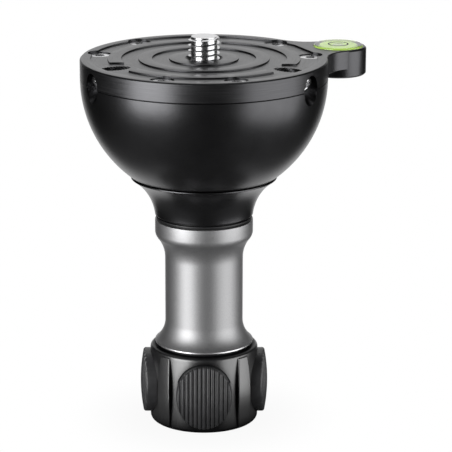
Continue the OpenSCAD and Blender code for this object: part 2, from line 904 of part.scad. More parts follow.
// Half section of the knob's body without its ridges and pockets
module knob_section() {
    difference() {
        union() {
            translate([0, knob_low_z])
                square([knob_r - knob_shoulder_r, knob_h]);
            translate([0, knob_low_z + knob_foot_r])
                square([knob_r, knob_h - knob_foot_r - knob_shoulder_r]);
            translate([knob_r - knob_shoulder_r, knob_top_z - knob_shoulder_r])
                circle(r = knob_shoulder_r);
            translate([knob_r - knob_foot_r, knob_low_z + knob_foot_r])
                circle(r = knob_foot_r);
            translate([0, knob_low_z])
                square([knob_r - knob_foot_r, knob_foot_r]);
        }
        translate([-cut, knob_low_z - cut])
            square([cut + rod_r + rod_gap, knob_h + 2 * cut]);
        translate([-cut, insert_flange_z - cut])
            square([cut + insert_r + set_fit, cut + insert_len]);
        translate([-cut, cap_low_z])
            square([cut + knob_hollow_r, insert_flange_z - cap_low_z]);
        translate([-cut, knob_low_z - cut])
            square([cut + cap_r + set_fit, cut + cap_top_z - knob_low_z]);
    }
}

// One vertical ridge: a lens-shaped land with an arched crest
module ridge() {
    intersection() {
        translate([ridge_reach - ridge_arch_r, 0, knob_mid_z])
            rotate([right_angle, 0, 0])
                cylinder(r = ridge_arch_r, h = 2 * ridge_w, center = true);
        translate([pad_seat, 0, knob_mid_z])
            rotate([0, right_angle, 0])
                linear_extrude(ridge_reach)
                    intersection() {
                        square([ridge_h, 2 * ridge_w], center = true);
                        translate([0, ridge_side_r - ridge_w / 2])
                            circle(r = ridge_side_r);
                        translate([0, ridge_w / 2 - ridge_side_r])
                            circle(r = ridge_side_r);
                    }
    }
}

// Outline of a grip pad, eased by gap all round
module pad_outline(gap) {
    for (side = [-1, 1])
        translate([0, side * pad_end_z])
            circle(r = pad_end_r + gap);
    intersection() {
        translate([-pad_side_x, 0])
            circle(r = pad_side_r + gap);
        translate([pad_side_x, 0])
            circle(r = pad_side_r + gap);
        square([4 * pad_half_w, 2 * pad_touch_z], center = true);
    }
}

// A pad's outline as a bar along +X, from the seat outwards
module pad_bar(gap, seat) {
    translate([seat, 0, knob_mid_z])
        rotate([right_angle, 0, right_angle])
            linear_extrude(pad_reach)
                pad_outline(gap);
}

// Section across a pad's ribs: distance from the dome's axis, and place across the pad
function pad_drop(t) = pad_reach - sqrt(pow(pad_reach, 2) - pow(t, 2));
module rib_section() {
    half = (pad_ribs - 1) / 2;
    edge = (half + 1) * pad_pitch;
    depth = pad_reach - pad_seat + 2 * cut;
    polygon(concat(
        [[pad_dome_r - depth, edge], [pad_dome_r - depth, -edge]],
        [[pad_dome_r - pad_drop(edge) - pad_rib_d, -edge]],
        [for (i = [-half : half], p = [[-rib_root, 1], [-rib_crest, 0], [rib_crest, 0], [rib_root, 1]])
            let (t = (i + p[0]) * pad_pitch)
            [pad_dome_r - pad_drop(t) - p[1] * pad_rib_d, t]],
        [[pad_dome_r - pad_drop(edge) - pad_rib_d, edge]]
    ));
}

// One grip pad, facing an azimuth
module grip_pad(az) {
    color(rubber)
        face_to(az)
            intersection() {
                pad_bar(0, pad_seat);
                translate([pad_reach - pad_dome_r, 0, knob_mid_z])
                    rotate([right_angle, 0, 0])
                        rotate(-pad_swing / 2)
                            rotate_extrude(angle = pad_swing)
                                rib_section();
            }
}

module grip_pad_front() {
    grip_pad(0);
}

module grip_pad_right() {
    grip_pad(grip_step);
}

module grip_pad_rear() {
    grip_pad(2 * grip_step);
}

module grip_pad_left() {
    grip_pad(3 * grip_step);
}

module knob_body() {
    color(black)
        difference() {
            union() {
                rotate_extrude()
                    knob_section();
                for (i = [0 : grip_count - 1])
                    face_to((i + 0.5) * grip_step)
                        ridge();
            }
            for (i = [0 : grip_count - 1])
                face_to(i * grip_step)
                    pad_bar(set_fit, pad_seat);
        }
}

module knob_insert() {
    color(brass) {
        ring(rod_r + run_fit, insert_r, insert_flange_z, insert_len);
        ring(rod_r + run_fit, insert_flange_r, insert_low_z, insert_flange_t);
    }
}

module knob_cap() {
    color(black)
        translate([0, 0, cap_low_z])
            cylinder(r = cap_r, h = cap_t);
}

top_plate();
half_ball();
plate_screws();
head_stud();
stud_washer();
stud_nut();
level_case();
level_fluid();
level_plug();
set_screw_left();
set_screw_right();
set_screw_rear();
tie_rod();
rod_screws();
stop_washer();
stop_screw();
clamp_cup();
clamp_liner();
handle_sleeve();
upper_bush();
lower_bush();
thrust_washer();
knob_body();
knob_insert();
knob_cap();
grip_pad_front();
grip_pad_right();
grip_pad_rear();
grip_pad_left();
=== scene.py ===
"""Looks of a half-ball leveling base: detailed pieces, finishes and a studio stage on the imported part."""

from math import acos, asin, atan2, ceil, cos, degrees, hypot, pi, radians, sin, sqrt, tan

import bmesh
import bpy
from bpy.props import FloatProperty, FloatVectorProperty, IntProperty, PointerProperty
from mathutils import Matrix, Vector


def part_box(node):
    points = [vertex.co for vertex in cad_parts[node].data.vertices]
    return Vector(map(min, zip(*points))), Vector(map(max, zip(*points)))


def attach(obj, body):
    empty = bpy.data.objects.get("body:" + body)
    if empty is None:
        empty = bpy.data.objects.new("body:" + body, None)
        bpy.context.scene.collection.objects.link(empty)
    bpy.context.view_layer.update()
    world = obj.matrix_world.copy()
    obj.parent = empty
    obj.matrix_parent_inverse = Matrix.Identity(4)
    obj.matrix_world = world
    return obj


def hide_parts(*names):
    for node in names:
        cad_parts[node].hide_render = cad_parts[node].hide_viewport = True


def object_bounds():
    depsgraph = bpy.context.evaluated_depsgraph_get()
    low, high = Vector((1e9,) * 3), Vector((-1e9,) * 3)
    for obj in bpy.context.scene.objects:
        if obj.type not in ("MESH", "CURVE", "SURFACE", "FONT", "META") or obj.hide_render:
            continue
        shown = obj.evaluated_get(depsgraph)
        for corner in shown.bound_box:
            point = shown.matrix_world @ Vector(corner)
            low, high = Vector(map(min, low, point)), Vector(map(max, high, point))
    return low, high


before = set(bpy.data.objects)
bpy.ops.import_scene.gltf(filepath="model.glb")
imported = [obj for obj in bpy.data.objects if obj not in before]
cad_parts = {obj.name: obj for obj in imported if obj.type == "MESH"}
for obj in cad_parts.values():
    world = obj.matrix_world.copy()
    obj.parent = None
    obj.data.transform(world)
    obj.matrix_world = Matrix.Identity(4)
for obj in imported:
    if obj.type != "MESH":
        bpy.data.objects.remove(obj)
CAD_BOX = [list(corner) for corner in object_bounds()]

bl_info = {
    "name": "Leveling base",
    "version": (1, 0, 0),
    "blender": (4, 5, 0),
    "location": "View3D > Sidebar > Leveling base",
    "description": "Builds the pieces and finishes of a half-ball leveling base",
    "category": "Object",
}

MM = 0.001
MERGE = 1e-7

# Steps round a turned piece, from large pieces to screws.
SMOOTH, FINE, MEDIUM, ROUND, COARSE = 256, 192, 128, 96, 64

# Roundings of edges.
KEEN, CRISP, SOFT, MILD, FULL = (r * MM for r in (0.1, 0.15, 0.2, 0.25, 0.3))

# Play round a pressed piece, round one that runs in a bore, and round the rod where nothing touches it.
PRESSED, RUNNING, ROD_ROOM = 0.05 * MM, 0.06 * MM, 0.4 * MM

PLATE_THICK = 6 * MM
SET_THREAD = 0.3 * MM
ROWS_A_TURN, COLUMNS = 24, 96
ROUND_AXIS = "Copies round the axis"
NOISE_SPAN, NOISE_GRIT = (0.3, 0.7), 0.55

# Side of the picture, offset of the base's axis from its middle and focal length, in pixels.
PICTURE, AXIS_ASIDE, FOCAL = 452, 22, 2366
SENSOR = 36

WHITE = (1, 1, 1, 1)
FINISHES = {}


def level(node, end):
    """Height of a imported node's underside (0) or top (1)."""
    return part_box(node)[end].z


def reach(node):
    """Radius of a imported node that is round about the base's axis."""
    return round(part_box(node)[1].x, 4)


PLATE_TOP = level("half_ball", 1) + PLATE_THICK
BALL_R = reach("half_ball")


def length(name, about, default):
    """A size in metres."""
    return FloatProperty(name=name, description=about, default=default, min=0, precision=5, unit="LENGTH")


def height(name, about, default):
    """A height above or below the ball's centre, in metres."""
    return FloatProperty(name=name, description=about, default=default, precision=5, unit="LENGTH")


def turn(name, about, default):
    """An angle, given here in degrees."""
    return FloatProperty(name=name, description=about, default=radians(default), subtype="ANGLE")


def count(name, about, default):
    """A whole number of like pieces."""
    return IntProperty(name=name, description=about, default=default, min=1)


def tint(name, about, default):
    """A colour."""
    return FloatVectorProperty(name=name, description=about, default=default, min=0, max=1, size=3,
                               subtype="COLOR")


def share(name, about, default):
    """A number from 0 to 1."""
    return FloatProperty(name=name, description=about, default=default, min=0, max=1, subtype="FACTOR")


def power(name, about, default):
    """A lamp's power in watts."""
    return FloatProperty(name=name, description=about, default=default, min=0, unit="POWER")


def light(name, about, default):
    """A strength of light."""
    return FloatProperty(name=name, description=about, default=default, min=0)


class PlateSizes(bpy.types.PropertyGroup):
    """Sizes of the top plate."""
    radius: length("Radius", "Radius of the plate, the same as the ball's", BALL_R)
    top: height("Top", "Height of the plate's top face", PLATE_TOP)
    chamfer: length("Edge", "Chamfer round the top edge", 0.4 * MM)
    seam: length("Seam edge", "Chamfer at the seam with the ball", 0.2 * MM)
    spigot: length("Spigot radius", "Radius of the step that centres the plate in the ball", 28.95 * MM)
    spigot_depth: length("Spigot depth", "Depth of that step", 2 * MM)
    rim: length("Rim", "Width of the rim outside the channels", 3.2 * MM)
    channel: length("Channel width", "Width of each ring channel", 5.2 * MM)
    ring: length("Ring width", "Width of the raised rings", 4.1 * MM)
    channel_depth: length("Channel depth", "Depth of the ring channels", 0.5 * MM)
    soft: length("Edge rounding", "Rounding of the machined edges", 0.08 * MM)
    recess: length("Recess radius", "Radius of the round recess at each set screw", 6.6 * MM)
    pattern: turn("Pattern turn", "Turn of the screw pattern from the front", -2.5)
    stud_hole: length("Stud hole", "Radius of the hole for the stud", 4.05 * MM)
    stud_chamfer: length("Stud hole chamfer", "Chamfer round that hole", 1.7 * MM)


class BallSizes(bpy.types.PropertyGroup):
    """Sizes of the half ball."""
    radius: length("Radius", "Radius of the half ball", BALL_R)
    flat: height("Flat", "Height of the flat underneath", level("half_ball", 0))
    wall: length("Wall", "Wall of the shell", 9 * MM)
    register: length("Register radius", "Radius of the step for the plate", 29 * MM)
    register_depth: length("Register depth", "Depth of that step", 2.2 * MM)
    boss: length("Boss radius", "Radius of the boss inside", 13 * MM)
    boss_height: length("Boss height", "Height of the boss above the flat", 9 * MM)
    rod_hole: length("Rod hole", "Radius of the hole for the tie rod", 5.05 * MM)


class ScrewSizes(bpy.types.PropertyGroup):
    """Sizes of the plate screws and the set screws."""
    groups: count("Pairs", "Pairs of plate screws", 3)
    inset: length("Inset", "Distance of the plate screws from the edge", 4.9 * MM)
    half_angle: turn("Half angle", "Half the angle between the screws of a pair", 19.5)
    head: length("Head radius", "Radius of the plate screws' heads", 3.5 * MM)
    head_height: length("Head height", "Height of those heads", 2 * MM)
    sink: length("Sink", "Depth of the heads' tops below the channels", 0.3 * MM)
    shank: length("Shank radius", "Radius of the plate screws' shanks", 2 * MM)
    shank_length: length("Shank length", "Length of the shanks below the seam", 8 * MM)
    bore: length("Bore radius", "Radius of the counterbores", 3.7 * MM)
    key: length("Key", "Width across flats of all the hexagon sockets", 2.5 * MM)
    set_radius: length("Set screw radius", "Radius of the set screws", 2.5 * MM)
    set_length: length("Set screw length", "Length of the set screws", 4 * MM)
    set_sink: length("Set screw sink", "Depth of the set screws in their holes", 2.1 * MM)
    set_inset: length("Exit inset", "Distance of the set screws' exits from the edge", 7.9 * MM)
    set_pitch: length("Set screw pitch", "Pitch of the set screws' thread", 0.8 * MM)
    access: length("Access radius", "Radius of the access holes at the seam", 3.8 * MM)
    access_depth: length("Access depth", "Depth of the access holes", 4 * MM)


class StudSizes(bpy.types.PropertyGroup):
    """Sizes of the head stud."""
    radius: length("Radius", "Radius over the thread's crests", 4.7625 * MM)
    depth: length("Thread depth", "Depth of the thread", 0.974 * MM)
    pitch: length("Pitch", "Pitch of the thread", 1.5875 * MM)
    shank: length("Shank radius", "Radius of the shank in the plate", 4 * MM)
    thread_low: height("Thread start", "Height at which the full thread starts", 5.4 * MM)
    low: height("Low end", "Height of the stud's low end", level("head_stud", 0))
    top: height("Top", "Height of the stud's top", level("head_stud", 1))
    point: length("Point", "Length of the chamfered point", 0.7 * MM)


class LevelSizes(bpy.types.PropertyGroup):
    """Sizes of the ear and the bubble level in it."""
    azimuth: turn("Azimuth", "Direction of the ear, from the front towards the right", 114)
    out: length("Distance", "Distance of the level from the base's axis", 45.4 * MM)
    boss: length("Boss radius", "Radius of the ear's boss", 8.7 * MM)
    drop: length("Boss drop", "How far the boss goes below the seam", 2.65 * MM)
    edge: length("Boss edge", "Chamfer of the boss", 0.5 * MM)
    fillet: length("Fillet", "Radius of the fillets beside the ear", 10.5 * MM)
    case: length("Case radius", "Radius of the level's clear case", 7.6 * MM)
    low: height("Case low", "Height of the case's underside", level("level_case", 0))
    top: height("Case top", "Height of the case's top", level("level_case", 1))
    wall: length("Case wall", "Wall of the case", 1.7 * MM)
    window: length("Window", "Thickness of the window", 1.3 * MM)
    plug: length("Plug", "Thickness of the plug underneath", 1.4 * MM)
    bubble: length("Bubble radius", "Radius of the bubble", 2.3 * MM)
    bubble_height: length("Bubble height", "Height of the bubble", 1 * MM)
    target: length("Target radius", "Radius of the black target ring", 3 * MM)
    line: length("Target line", "Width of the target ring's line", 0.36 * MM)


class ClampSizes(bpy.types.PropertyGroup):
    """Sizes of the clamp cup, the handle and the bushes."""
    cup_top: height("Cup top", "Height of the cup's top", level("clamp_cup", 1))
    cup_low: height("Cup low", "Height of the cup's foot", level("clamp_cup", 0))
    cup_rim: length("Cup rim radius", "Radius of the cup's rim", 22.4 * MM)
    cup_rim_height: length("Cup rim height", "Height of the rim's edge", 0.4 * MM)
    cup_waist: length("Cup waist", "Radius of the cup's waist", 14.95 * MM)
    cup_flare: length("Cup flare", "Radius of the cup's hollow curve", 16 * MM)
    top: height("Handle top", "Height of the handle's top", level("handle_sleeve", 1))
    low: height("Handle low", "Height of the handle's low end", level("handle_sleeve", 0))
    band: length("Band radius", "Radius of the handle's upper band", 15.05 * MM)
    band_height: length("Band height", "Height of that band", 3.8 * MM)
    shoulder: length("Shoulder", "Rounding under the band", 3.2 * MM)
    hollow: length("Hollow", "Radius of the hollow under the shoulder", 10.5 * MM)
    waist: length("Waist", "Radius of the handle's waist", 12 * MM)
    flare: length("Flare", "Radius of the curve above the lip", 8.5 * MM)
    lip: length("Lip radius", "Radius of the lip", 15.15 * MM)
    lip_height: length("Lip height", "Height of the lip", 0.5 * MM)
    bush: length("Bush radius", "Radius of the bushes", 9 * MM)
    upper_bush: length("Upper bush", "Length of the upper bush in the handle", 10 * MM)
    lower_bush: length("Lower bush", "Length of the lower bush", 8 * MM)
    bore: length("Bore", "Radius of the handle's bore", 7.5 * MM)
    spigot: length("Bush spigot", "Height of the upper bush's end in the cup", 4 * MM)
    flange: length("Bush flange", "Radius of the upper bush's flange", 13.8 * MM)
    bead: length("Bush bead", "Radius of the bead round that flange", 14.8 * MM)
    rod: length("Rod radius", "Radius of the tie rod", 5 * MM)


class KnobSizes(bpy.types.PropertyGroup):
    """Sizes of the knob and its grip pads."""
    top: height("Top", "Height of the knob's top", level("knob_body", 1))
    low: height("Low", "Height of the knob's foot", level("knob_body", 0))
    radius: length("Radius", "Radius of the knob", 16.7 * MM)
    shoulder: length("Shoulder", "Rounding of the top edge", 1.1 * MM)
    foot: length("Foot", "Rounding of the lower edge", 1.2 * MM)
    grips: count("Grips", "Number of grip pads and of ridges", 4)
    ridge: length("Ridge reach", "Distance of a ridge's middle from the axis", 18 * MM)
    ridge_end: length("Ridge end reach", "Distance of a ridge's ends from the axis", 17.1 * MM)
    ridge_width: length("Ridge width", "Width of a ridge at its middle", 5.2 * MM)
    ridge_tip: length("Ridge end width", "Width of a ridge at its ends", 3.8 * MM)
    ridge_height: length("Ridge height", "Height of a ridge", 22.4 * MM)
    ridge_crown: length("Ridge crown", "Height of a ridge's middle line above its edges", 0.1 * MM)
    ridge_round: length("Ridge rounding", "Rounding of a ridge's edge", 0.3 * MM)
    seat: length("Pad seat", "Distance of the pads' seats from the axis", 14.6 * MM)
    pad: length("Pad reach", "Distance of a pad's face from the axis", 19.8 * MM)
    pad_width: length("Pad half width", "Half the width of a pad", 8.55 * MM)
    pad_height: length("Pad half height", "Half the height of a pad", 10.1 * MM)
    pad_end: length("Pad end", "Radius of a pad's round ends", 7.9 * MM)
    pad_dome: length("Pad dome", "Radius of a pad's upright curve", 53 * MM)
    pad_edge: length("Pad edge", "Rounding of a pad's edge", 0.6 * MM)
    pad_gap: length("Pad gap", "Gap round a pad", 0.28 * MM)
    ribs: count("Ribs", "Ribs on a pad", 13)
    rib_depth: length("Rib depth", "Depth of the grooves between the ribs", 0.55 * MM)
    cap: length("Cap radius", "Radius of the cap underneath", 12 * MM)
    cap_low: height("Cap low", "Height of the cap's underside", level("knob_cap", 0))
    cap_top: height("Cap top", "Height of the cap's top", level("knob_cap", 1))


class FinishSettings(bpy.types.PropertyGroup):
    """Colours and gloss of the finishes."""
    ball: tint("Ball black", "Satin black of the ball and the cup", (0.07, 0.07, 0.073))
    ball_gloss: share("Ball roughness", "Roughness of that black", 0.31)
    plate: tint("Plate black", "Turned black of the top plate", (0.07, 0.07, 0.073))
    plate_gloss: share("Plate roughness", "Roughness of the plate", 0.35)
    handle: tint("Handle grey", "Blasted grey of the handle", (0.34, 0.34, 0.345))
    handle_gloss: share("Handle roughness", "Roughness of the handle", 0.5)
    steel: tint("Steel", "Bright steel of the stud and the screws", (0.62, 0.62, 0.63))
    steel_gloss: share("Steel roughness", "Roughness of the steel", 0.23)
    knob: tint("Knob black", "Moulded black of the knob", (0.005, 0.005, 0.0055))
    knob_gloss: share("Knob roughness", "Roughness of the knob", 0.32)
    pad: tint("Pad black", "Rubber of the grip pads", (0.026, 0.026, 0.0275))
    fluid: tint("Fluid", "Lime green of the level's fluid", (0.56, 0.8, 0.15))
    brass: tint("Brass", "Brass of the knob's insert", (0.62, 0.42, 0.14))


class StageSettings(bpy.types.PropertyGroup):
    """The camera, the lamps and the floor."""
    back: length("Camera distance", "How far the camera stands in front", 0.701)
    up: height("Camera height", "Height of the camera above the ball's centre", 0.14965)
    tilt: turn("Camera tilt", "How far the camera looks down", degrees(0.2732))
    roll: turn("Camera roll", "Roll of the camera", 0)
    shift: FloatProperty(name="Camera shift", description="Sideways shift of the view",
                         default=AXIS_ASIDE / PICTURE)
    lens: FloatProperty(name="Lens", description="Focal length of the camera", min=1, unit="CAMERA",
                        default=SENSOR * FOCAL / PICTURE)
    left: power("Left lamp", "Power of the left softbox", 92)
    right: power("Right lamp", "Power of the right softbox", 69)
    above: power("Top lamp", "Power of the softbox above", 1.2)
    room: light("Room", "Light of the room round the backdrop", 0.02)
    table: light("Table", "Light that comes up from the table round the floor", 0.14)
    floor: tint("Floor", "Pale grey of the floor", (0.25, 0.25, 0.25))


class BaseSettings(bpy.types.PropertyGroup):
    """Everything that can be set about the leveling base."""
    plate: PointerProperty(type=PlateSizes)
    ball: PointerProperty(type=BallSizes)
    screws: PointerProperty(type=ScrewSizes)
    stud: PointerProperty(type=StudSizes)
    level: PointerProperty(type=LevelSizes)
    clamp: PointerProperty(type=ClampSizes)
    knob: PointerProperty(type=KnobSizes)
    finish: PointerProperty(type=FinishSettings)
    stage: PointerProperty(type=StageSettings)


def arc(x, z, r, start, end, steps):
    """Points on an arc about (x, z), from one angle in degrees to another."""
    angles = [radians(start + (end - start) * i / steps) for i in range(steps + 1)]
    return [(x + r * cos(a), z + r * sin(a)) for a in angles]


def softened(outline):
    """A closed outline of points (x, z), in which a third number rounds that corner by that radius."""
    points = []
    for i, corner in enumerate(outline):
        here = Vector(corner[:2])
        if len(corner) < 3:
            points.append(here)
            continue
        before = (Vector(outline[i - 1][:2]) - here).normalized()
        after = (Vector(outline[(i + 1) % len(outline)][:2]) - here).normalized()
        half = before.angle(after) / 2
        centre = here + (before + after).normalized() * corner[2] / sin(half)
        first = here + before * corner[2] / tan(half) - centre
        last = here + after * corner[2] / tan(half) - centre
        steps = 3 if corner[2] < FULL else 8
        for k in range(steps + 1):
            points.append(centre + first.lerp(last, k / steps).normalized() * corner[2])
    return points


def rolled(edge, steps=6):
    """Insets and drops of the rings that round an edge off, from the side to the face."""
    angles = [radians(90 * i / steps) for i in range(steps + 1)]
    return [(edge * (1 - cos(a)), edge * (1 - sin(a))) for a in angles]


def linked(name, data):
    """A new object of this data in the scene."""
    obj = bpy.data.objects.new(name, data)
    bpy.context.scene.collection.objects.link(obj)
    return obj


def turn_outwards(bm):
    """Turns the faces of closed shells outwards."""
    bmesh.ops.recalc_face_normals(bm, faces=bm.faces)
    if bm.calc_volume(signed=True) < 0:
        bmesh.ops.reverse_faces(bm, faces=bm.faces)


def new_piece(name, bm, place):
    """Moves the mesh to its place and links it as an object, with its faces turned outwards."""
    if place:
        bm.transform(place)
    bmesh.ops.remove_doubles(bm, verts=bm.verts, dist=MERGE)
    turn_outwards(bm)
    mesh = bpy.data.meshes.new(name)
    bm.to_mesh(mesh)
    bm.free()
    return linked(name, mesh)


def turned(name, outline, steps=FINE, place=None):
    """A closed outline of (radius, height) turned round the vertical axis, then moved to its place."""
    bm = bmesh.new()
    angles = [2 * pi * i / steps for i in range(steps)]
    rings = []
    for r, z in softened(outline):
        if r < MERGE:
            rings.append([bm.verts.new((0, 0, z))] * steps)
        else:
            rings.append([bm.verts.new((r * cos(a), r * sin(a), z)) for a in angles])
    for lower, upper in zip(rings, rings[1:] + rings[:1]):
        for i in range(steps):
            corners = list(dict.fromkeys([lower[i - 1], lower[i], upper[i], upper[i - 1]]))
            if len(corners) > 2:
                bm.faces.new(corners)
    return new_piece(name, bm, place)


def lofted(name, rings, place=None, strips=False):
    """A closed body through rings of equally many points, with caps. The last cap may be in strips."""
    bm = bmesh.new()
    rings = [[bm.verts.new(p) for p in ring] for ring in rings]
    for lower, upper in zip(rings, rings[1:]):
        for i in range(len(lower)):
            bm.faces.new((lower[i - 1], lower[i], upper[i], upper[i - 1]))
    bm.faces.new(rings[0])
    last = rings[-1]
    if strips:
        for i in range(len(last) // 2 - 1):
            bm.faces.new((last[i], last[i + 1], last[-2 - i], last[-1 - i]))
    else:
        bm.faces.new(last)
    return new_piece(name, bm, place)


def settle(obj):
    """Turns what the modifiers make into the object's own plain mesh."""
    shown = obj.evaluated_get(bpy.context.evaluated_depsgraph_get())
    mesh = bpy.data.meshes.new_from_object(shown)
    obj.modifiers.clear()
    old, obj.data = obj.data, mesh
    bpy.data.meshes.remove(old)


def combine(obj, other, operation):
    """Adds the other object to this one, or cuts it out, and removes it."""
    modifier = obj.modifiers.new(operation, "BOOLEAN")
    modifier.operation = operation
    modifier.solver = "EXACT"
    modifier.object = other
    settle(obj)
    bpy.data.objects.remove(other)


def gather(objs):
    """Joins objects that don't touch into the first one."""
    bm = bmesh.new()
    for obj in objs:
        bm.from_mesh(obj.data)
    for obj in objs[1:]:
        bpy.data.objects.remove(obj)
    bm.to_mesh(objs[0].data)
    bm.free()
    return objs[0]


def dress(obj, finish, body, slot, *nodes, crease=32):
    """Cleans and shades a finished piece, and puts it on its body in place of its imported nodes."""
    mesh = obj.data
    bm = bmesh.new()
    bm.from_mesh(mesh)
    bmesh.ops.remove_doubles(bm, verts=bm.verts, dist=MERGE)
    bmesh.ops.dissolve_degenerate(bm, edges=bm.edges, dist=MERGE)
    turn_outwards(bm)
    bm.to_mesh(mesh)
    bm.free()
    if not mesh.polygons:
        raise RuntimeError(obj.name + " came out empty")
    mesh.polygons.foreach_set("use_smooth", [True] * len(mesh.polygons))
    mesh.set_sharp_from_angle(angle=radians(crease))
    mesh.materials.clear()
    mesh.materials.append(FINISHES[finish])
    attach(obj, body)
    if nodes:
        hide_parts(*nodes)


def facing(angle):
    """Turns what is built along +X to an azimuth, counted from the front towards +X."""
    return Matrix.Rotation(angle - pi / 2, 4, "Z")


def hexagon(key, depth, top):
    """Cutter of a hexagon socket with a drilled point and, at the height top, a slightly flared mouth."""
    flare, point, tip = 0.15 * MM, 0.25 * key, 0.3 * key

    def ring(across, z):
        r = across / 2 / cos(pi / 6)
        return [(r * cos(pi / 3 * i), r * sin(pi / 3 * i), z) for i in range(6)]

    return lofted("socket", [ring(tip, top - depth - point), ring(key, top - depth), ring(key, top - flare),
                             ring(key + 4 * flare, top + flare)])


class Wire:
    """An output of a node. Arithmetic with it adds Math nodes to its tree."""

    def __init__(self, tree, socket):
        self.tree, self.socket = tree, socket

    def into(self, socket):
        """Links it to an input."""
        self.tree.links.new(self.socket, socket)

    def math(self, operation, *others):
        """The result of a Math node that has this as its first input."""
        return made(self.tree, "ShaderNodeMath", dict(enumerate((self, *others))), operation=operation)

    def __add__(self, other):
        return self.math("ADD", other)

    def __sub__(self, other):
        return self.math("SUBTRACT", other)

    def __rsub__(self, other):
        return made(self.tree, "ShaderNodeMath", {0: other, 1: self}, operation="SUBTRACT")

    def __mul__(self, other):
        return self.math("MULTIPLY", other)

    def __truediv__(self, other):
        return self.math("DIVIDE", other)

    def ranged(self, start, end, low=0.0, high=1.0, easing="LINEAR"):
        """The value moved from one range into another, and held there."""
        return made(self.tree, "ShaderNodeMapRange", {
            "Value": self, "From Min": start, "From Max": end, "To Min": low, "To Max": high,
        }, interpolation_type=easing)

    def xyz(self):
        """The three parts of a vector."""
        parts = made(self.tree, "ShaderNodeSeparateXYZ", {0: self}).socket.node.outputs
        return [Wire(self.tree, part) for part in parts]


def made(tree, kind, inputs=None, output=0, **properties):
    """An output of a new node, with its properties set and its inputs, by name or number, set or linked."""
    node = tree.nodes.new(kind)
    for name, value in properties.items():
        setattr(node, name, value)
    for name, value in (inputs or {}).items():
        if isinstance(value, Wire):
            value.into(node.inputs[name])
        else:
            node.inputs[name].default_value = value
    return Wire(tree, node.outputs[output])


def vector(tree, **parts):
    """A vector whose X, Y and Z are wires or numbers."""
    return made(tree, "ShaderNodeCombineXYZ", parts)


def on_circle(angle, radius, z=0.0):
    """The place at an angle round the axis and a distance from it."""
    return vector(angle.tree, X=angle.math("COSINE") * radius, Y=angle.math("SINE") * radius, Z=z)


def from_axis(x, y):
    """Distance from the axis."""
    return (x.math("POWER", 2) + y.math("POWER", 2)).math("SQRT")


def new_tree(name, **kinds):
    """An empty Geometry Nodes tree, and its inputs, whose names are listed by kind."""
    tree = bpy.data.node_groups.new(name, "GeometryNodeTree")
    titles = []
    for kind, names in kinds.items():
        for title in names:
            tree.interface.new_socket(title, in_out="INPUT", socket_type="NodeSocket" + kind)
            titles.append(title)
    tree.interface.new_socket("Geometry", in_out="OUTPUT", socket_type="NodeSocketGeometry")
    given = tree.nodes.new("NodeGroupInput").outputs
    return tree, [Wire(tree, given[title]) for title in titles]


def end_tree(geometry, material):
    """Ends a tree in Realize Instances and Set Material."""
    tree = geometry.tree
    real = made(tree, "GeometryNodeRealizeInstances", {"Geometry": geometry})
    painted = made(tree, "GeometryNodeSetMaterial", {"Geometry": real, "Material": material})
    painted.into(tree.nodes.new("NodeGroupOutput").inputs["Geometry"])
    return tree


def grown(name, tree, values):
    """An object made by a tree: its inputs are set by identifier, and the result is a plain mesh."""
    obj = linked(name, bpy.data.meshes.new(name))
    modifier = obj.modifiers.new(name, "NODES")
    modifier.node_group = tree
    for socket in tree.interface.items_tree:
        if socket.in_out == "INPUT":
            modifier[socket.identifier] = values[socket.name]
    settle(obj)
    return obj


def on_points(points, template, **turns):
    """Copies of a template on points."""
    shape = made(points.tree, "GeometryNodeObjectInfo", {"Object": template}, output="Geometry")
    return made(points.tree, "GeometryNodeInstanceOnPoints", {"Points": points, "Instance": shape, **turns})


def copies_round_axis():
    """Tree that puts copies of a template round the axis, in equal groups."""
    tree, (template, groups, per_group, half_angle, radius, start, material) = new_tree(
        ROUND_AXIS, Object=["Template"], Int=["Groups", "Per group"],
        Float=["Half angle", "Radius", "Start"], Material=["Material"])
    index = made(tree, "GeometryNodeInputIndex")
    group = (index / per_group).math("FLOOR")
    side = index - group * per_group
    lean = (side - (per_group - 1) / 2) * (half_angle * 2)
    angle = start + group * (2 * pi) / groups + lean
    line = made(tree, "GeometryNodeMeshLine", {"Count": groups * per_group})
    points = made(tree, "GeometryNodeSetPosition", {"Geometry": line, "Position": on_circle(angle, radius)})
    return end_tree(on_points(points, template, Rotation=vector(tree, Z=angle)), material)


def round_axis(name, template, finish, groups, start, per_group=1, half_angle=0.0, radius=0.0):
    """Copies of a template round the axis, which take the template's place."""
    tree = bpy.data.node_groups.get(ROUND_AXIS) or copies_round_axis()
    copies = grown(name, tree, {
        "Template": template, "Groups": groups, "Per group": per_group, "Half angle": half_angle,
        "Radius": radius, "Start": start, "Material": FINISHES[finish]})
    bpy.data.objects.remove(template)
    return copies


def copies_in_row():
    """Tree that puts copies of a template in a row along Y, centred on the middle."""
    tree, (template, number, pitch, material) = new_tree(
        "Copies in a row", Object=["Template"], Int=["Count"], Float=["Pitch"], Material=["Material"])
    points = made(tree, "GeometryNodeMeshLine", {
        "Count": number, "Start Location": vector(tree, Y=(number - 1) / -2 * pitch),
        "Offset": vector(tree, Y=pitch)})
    return end_tree(on_points(points, template), material)


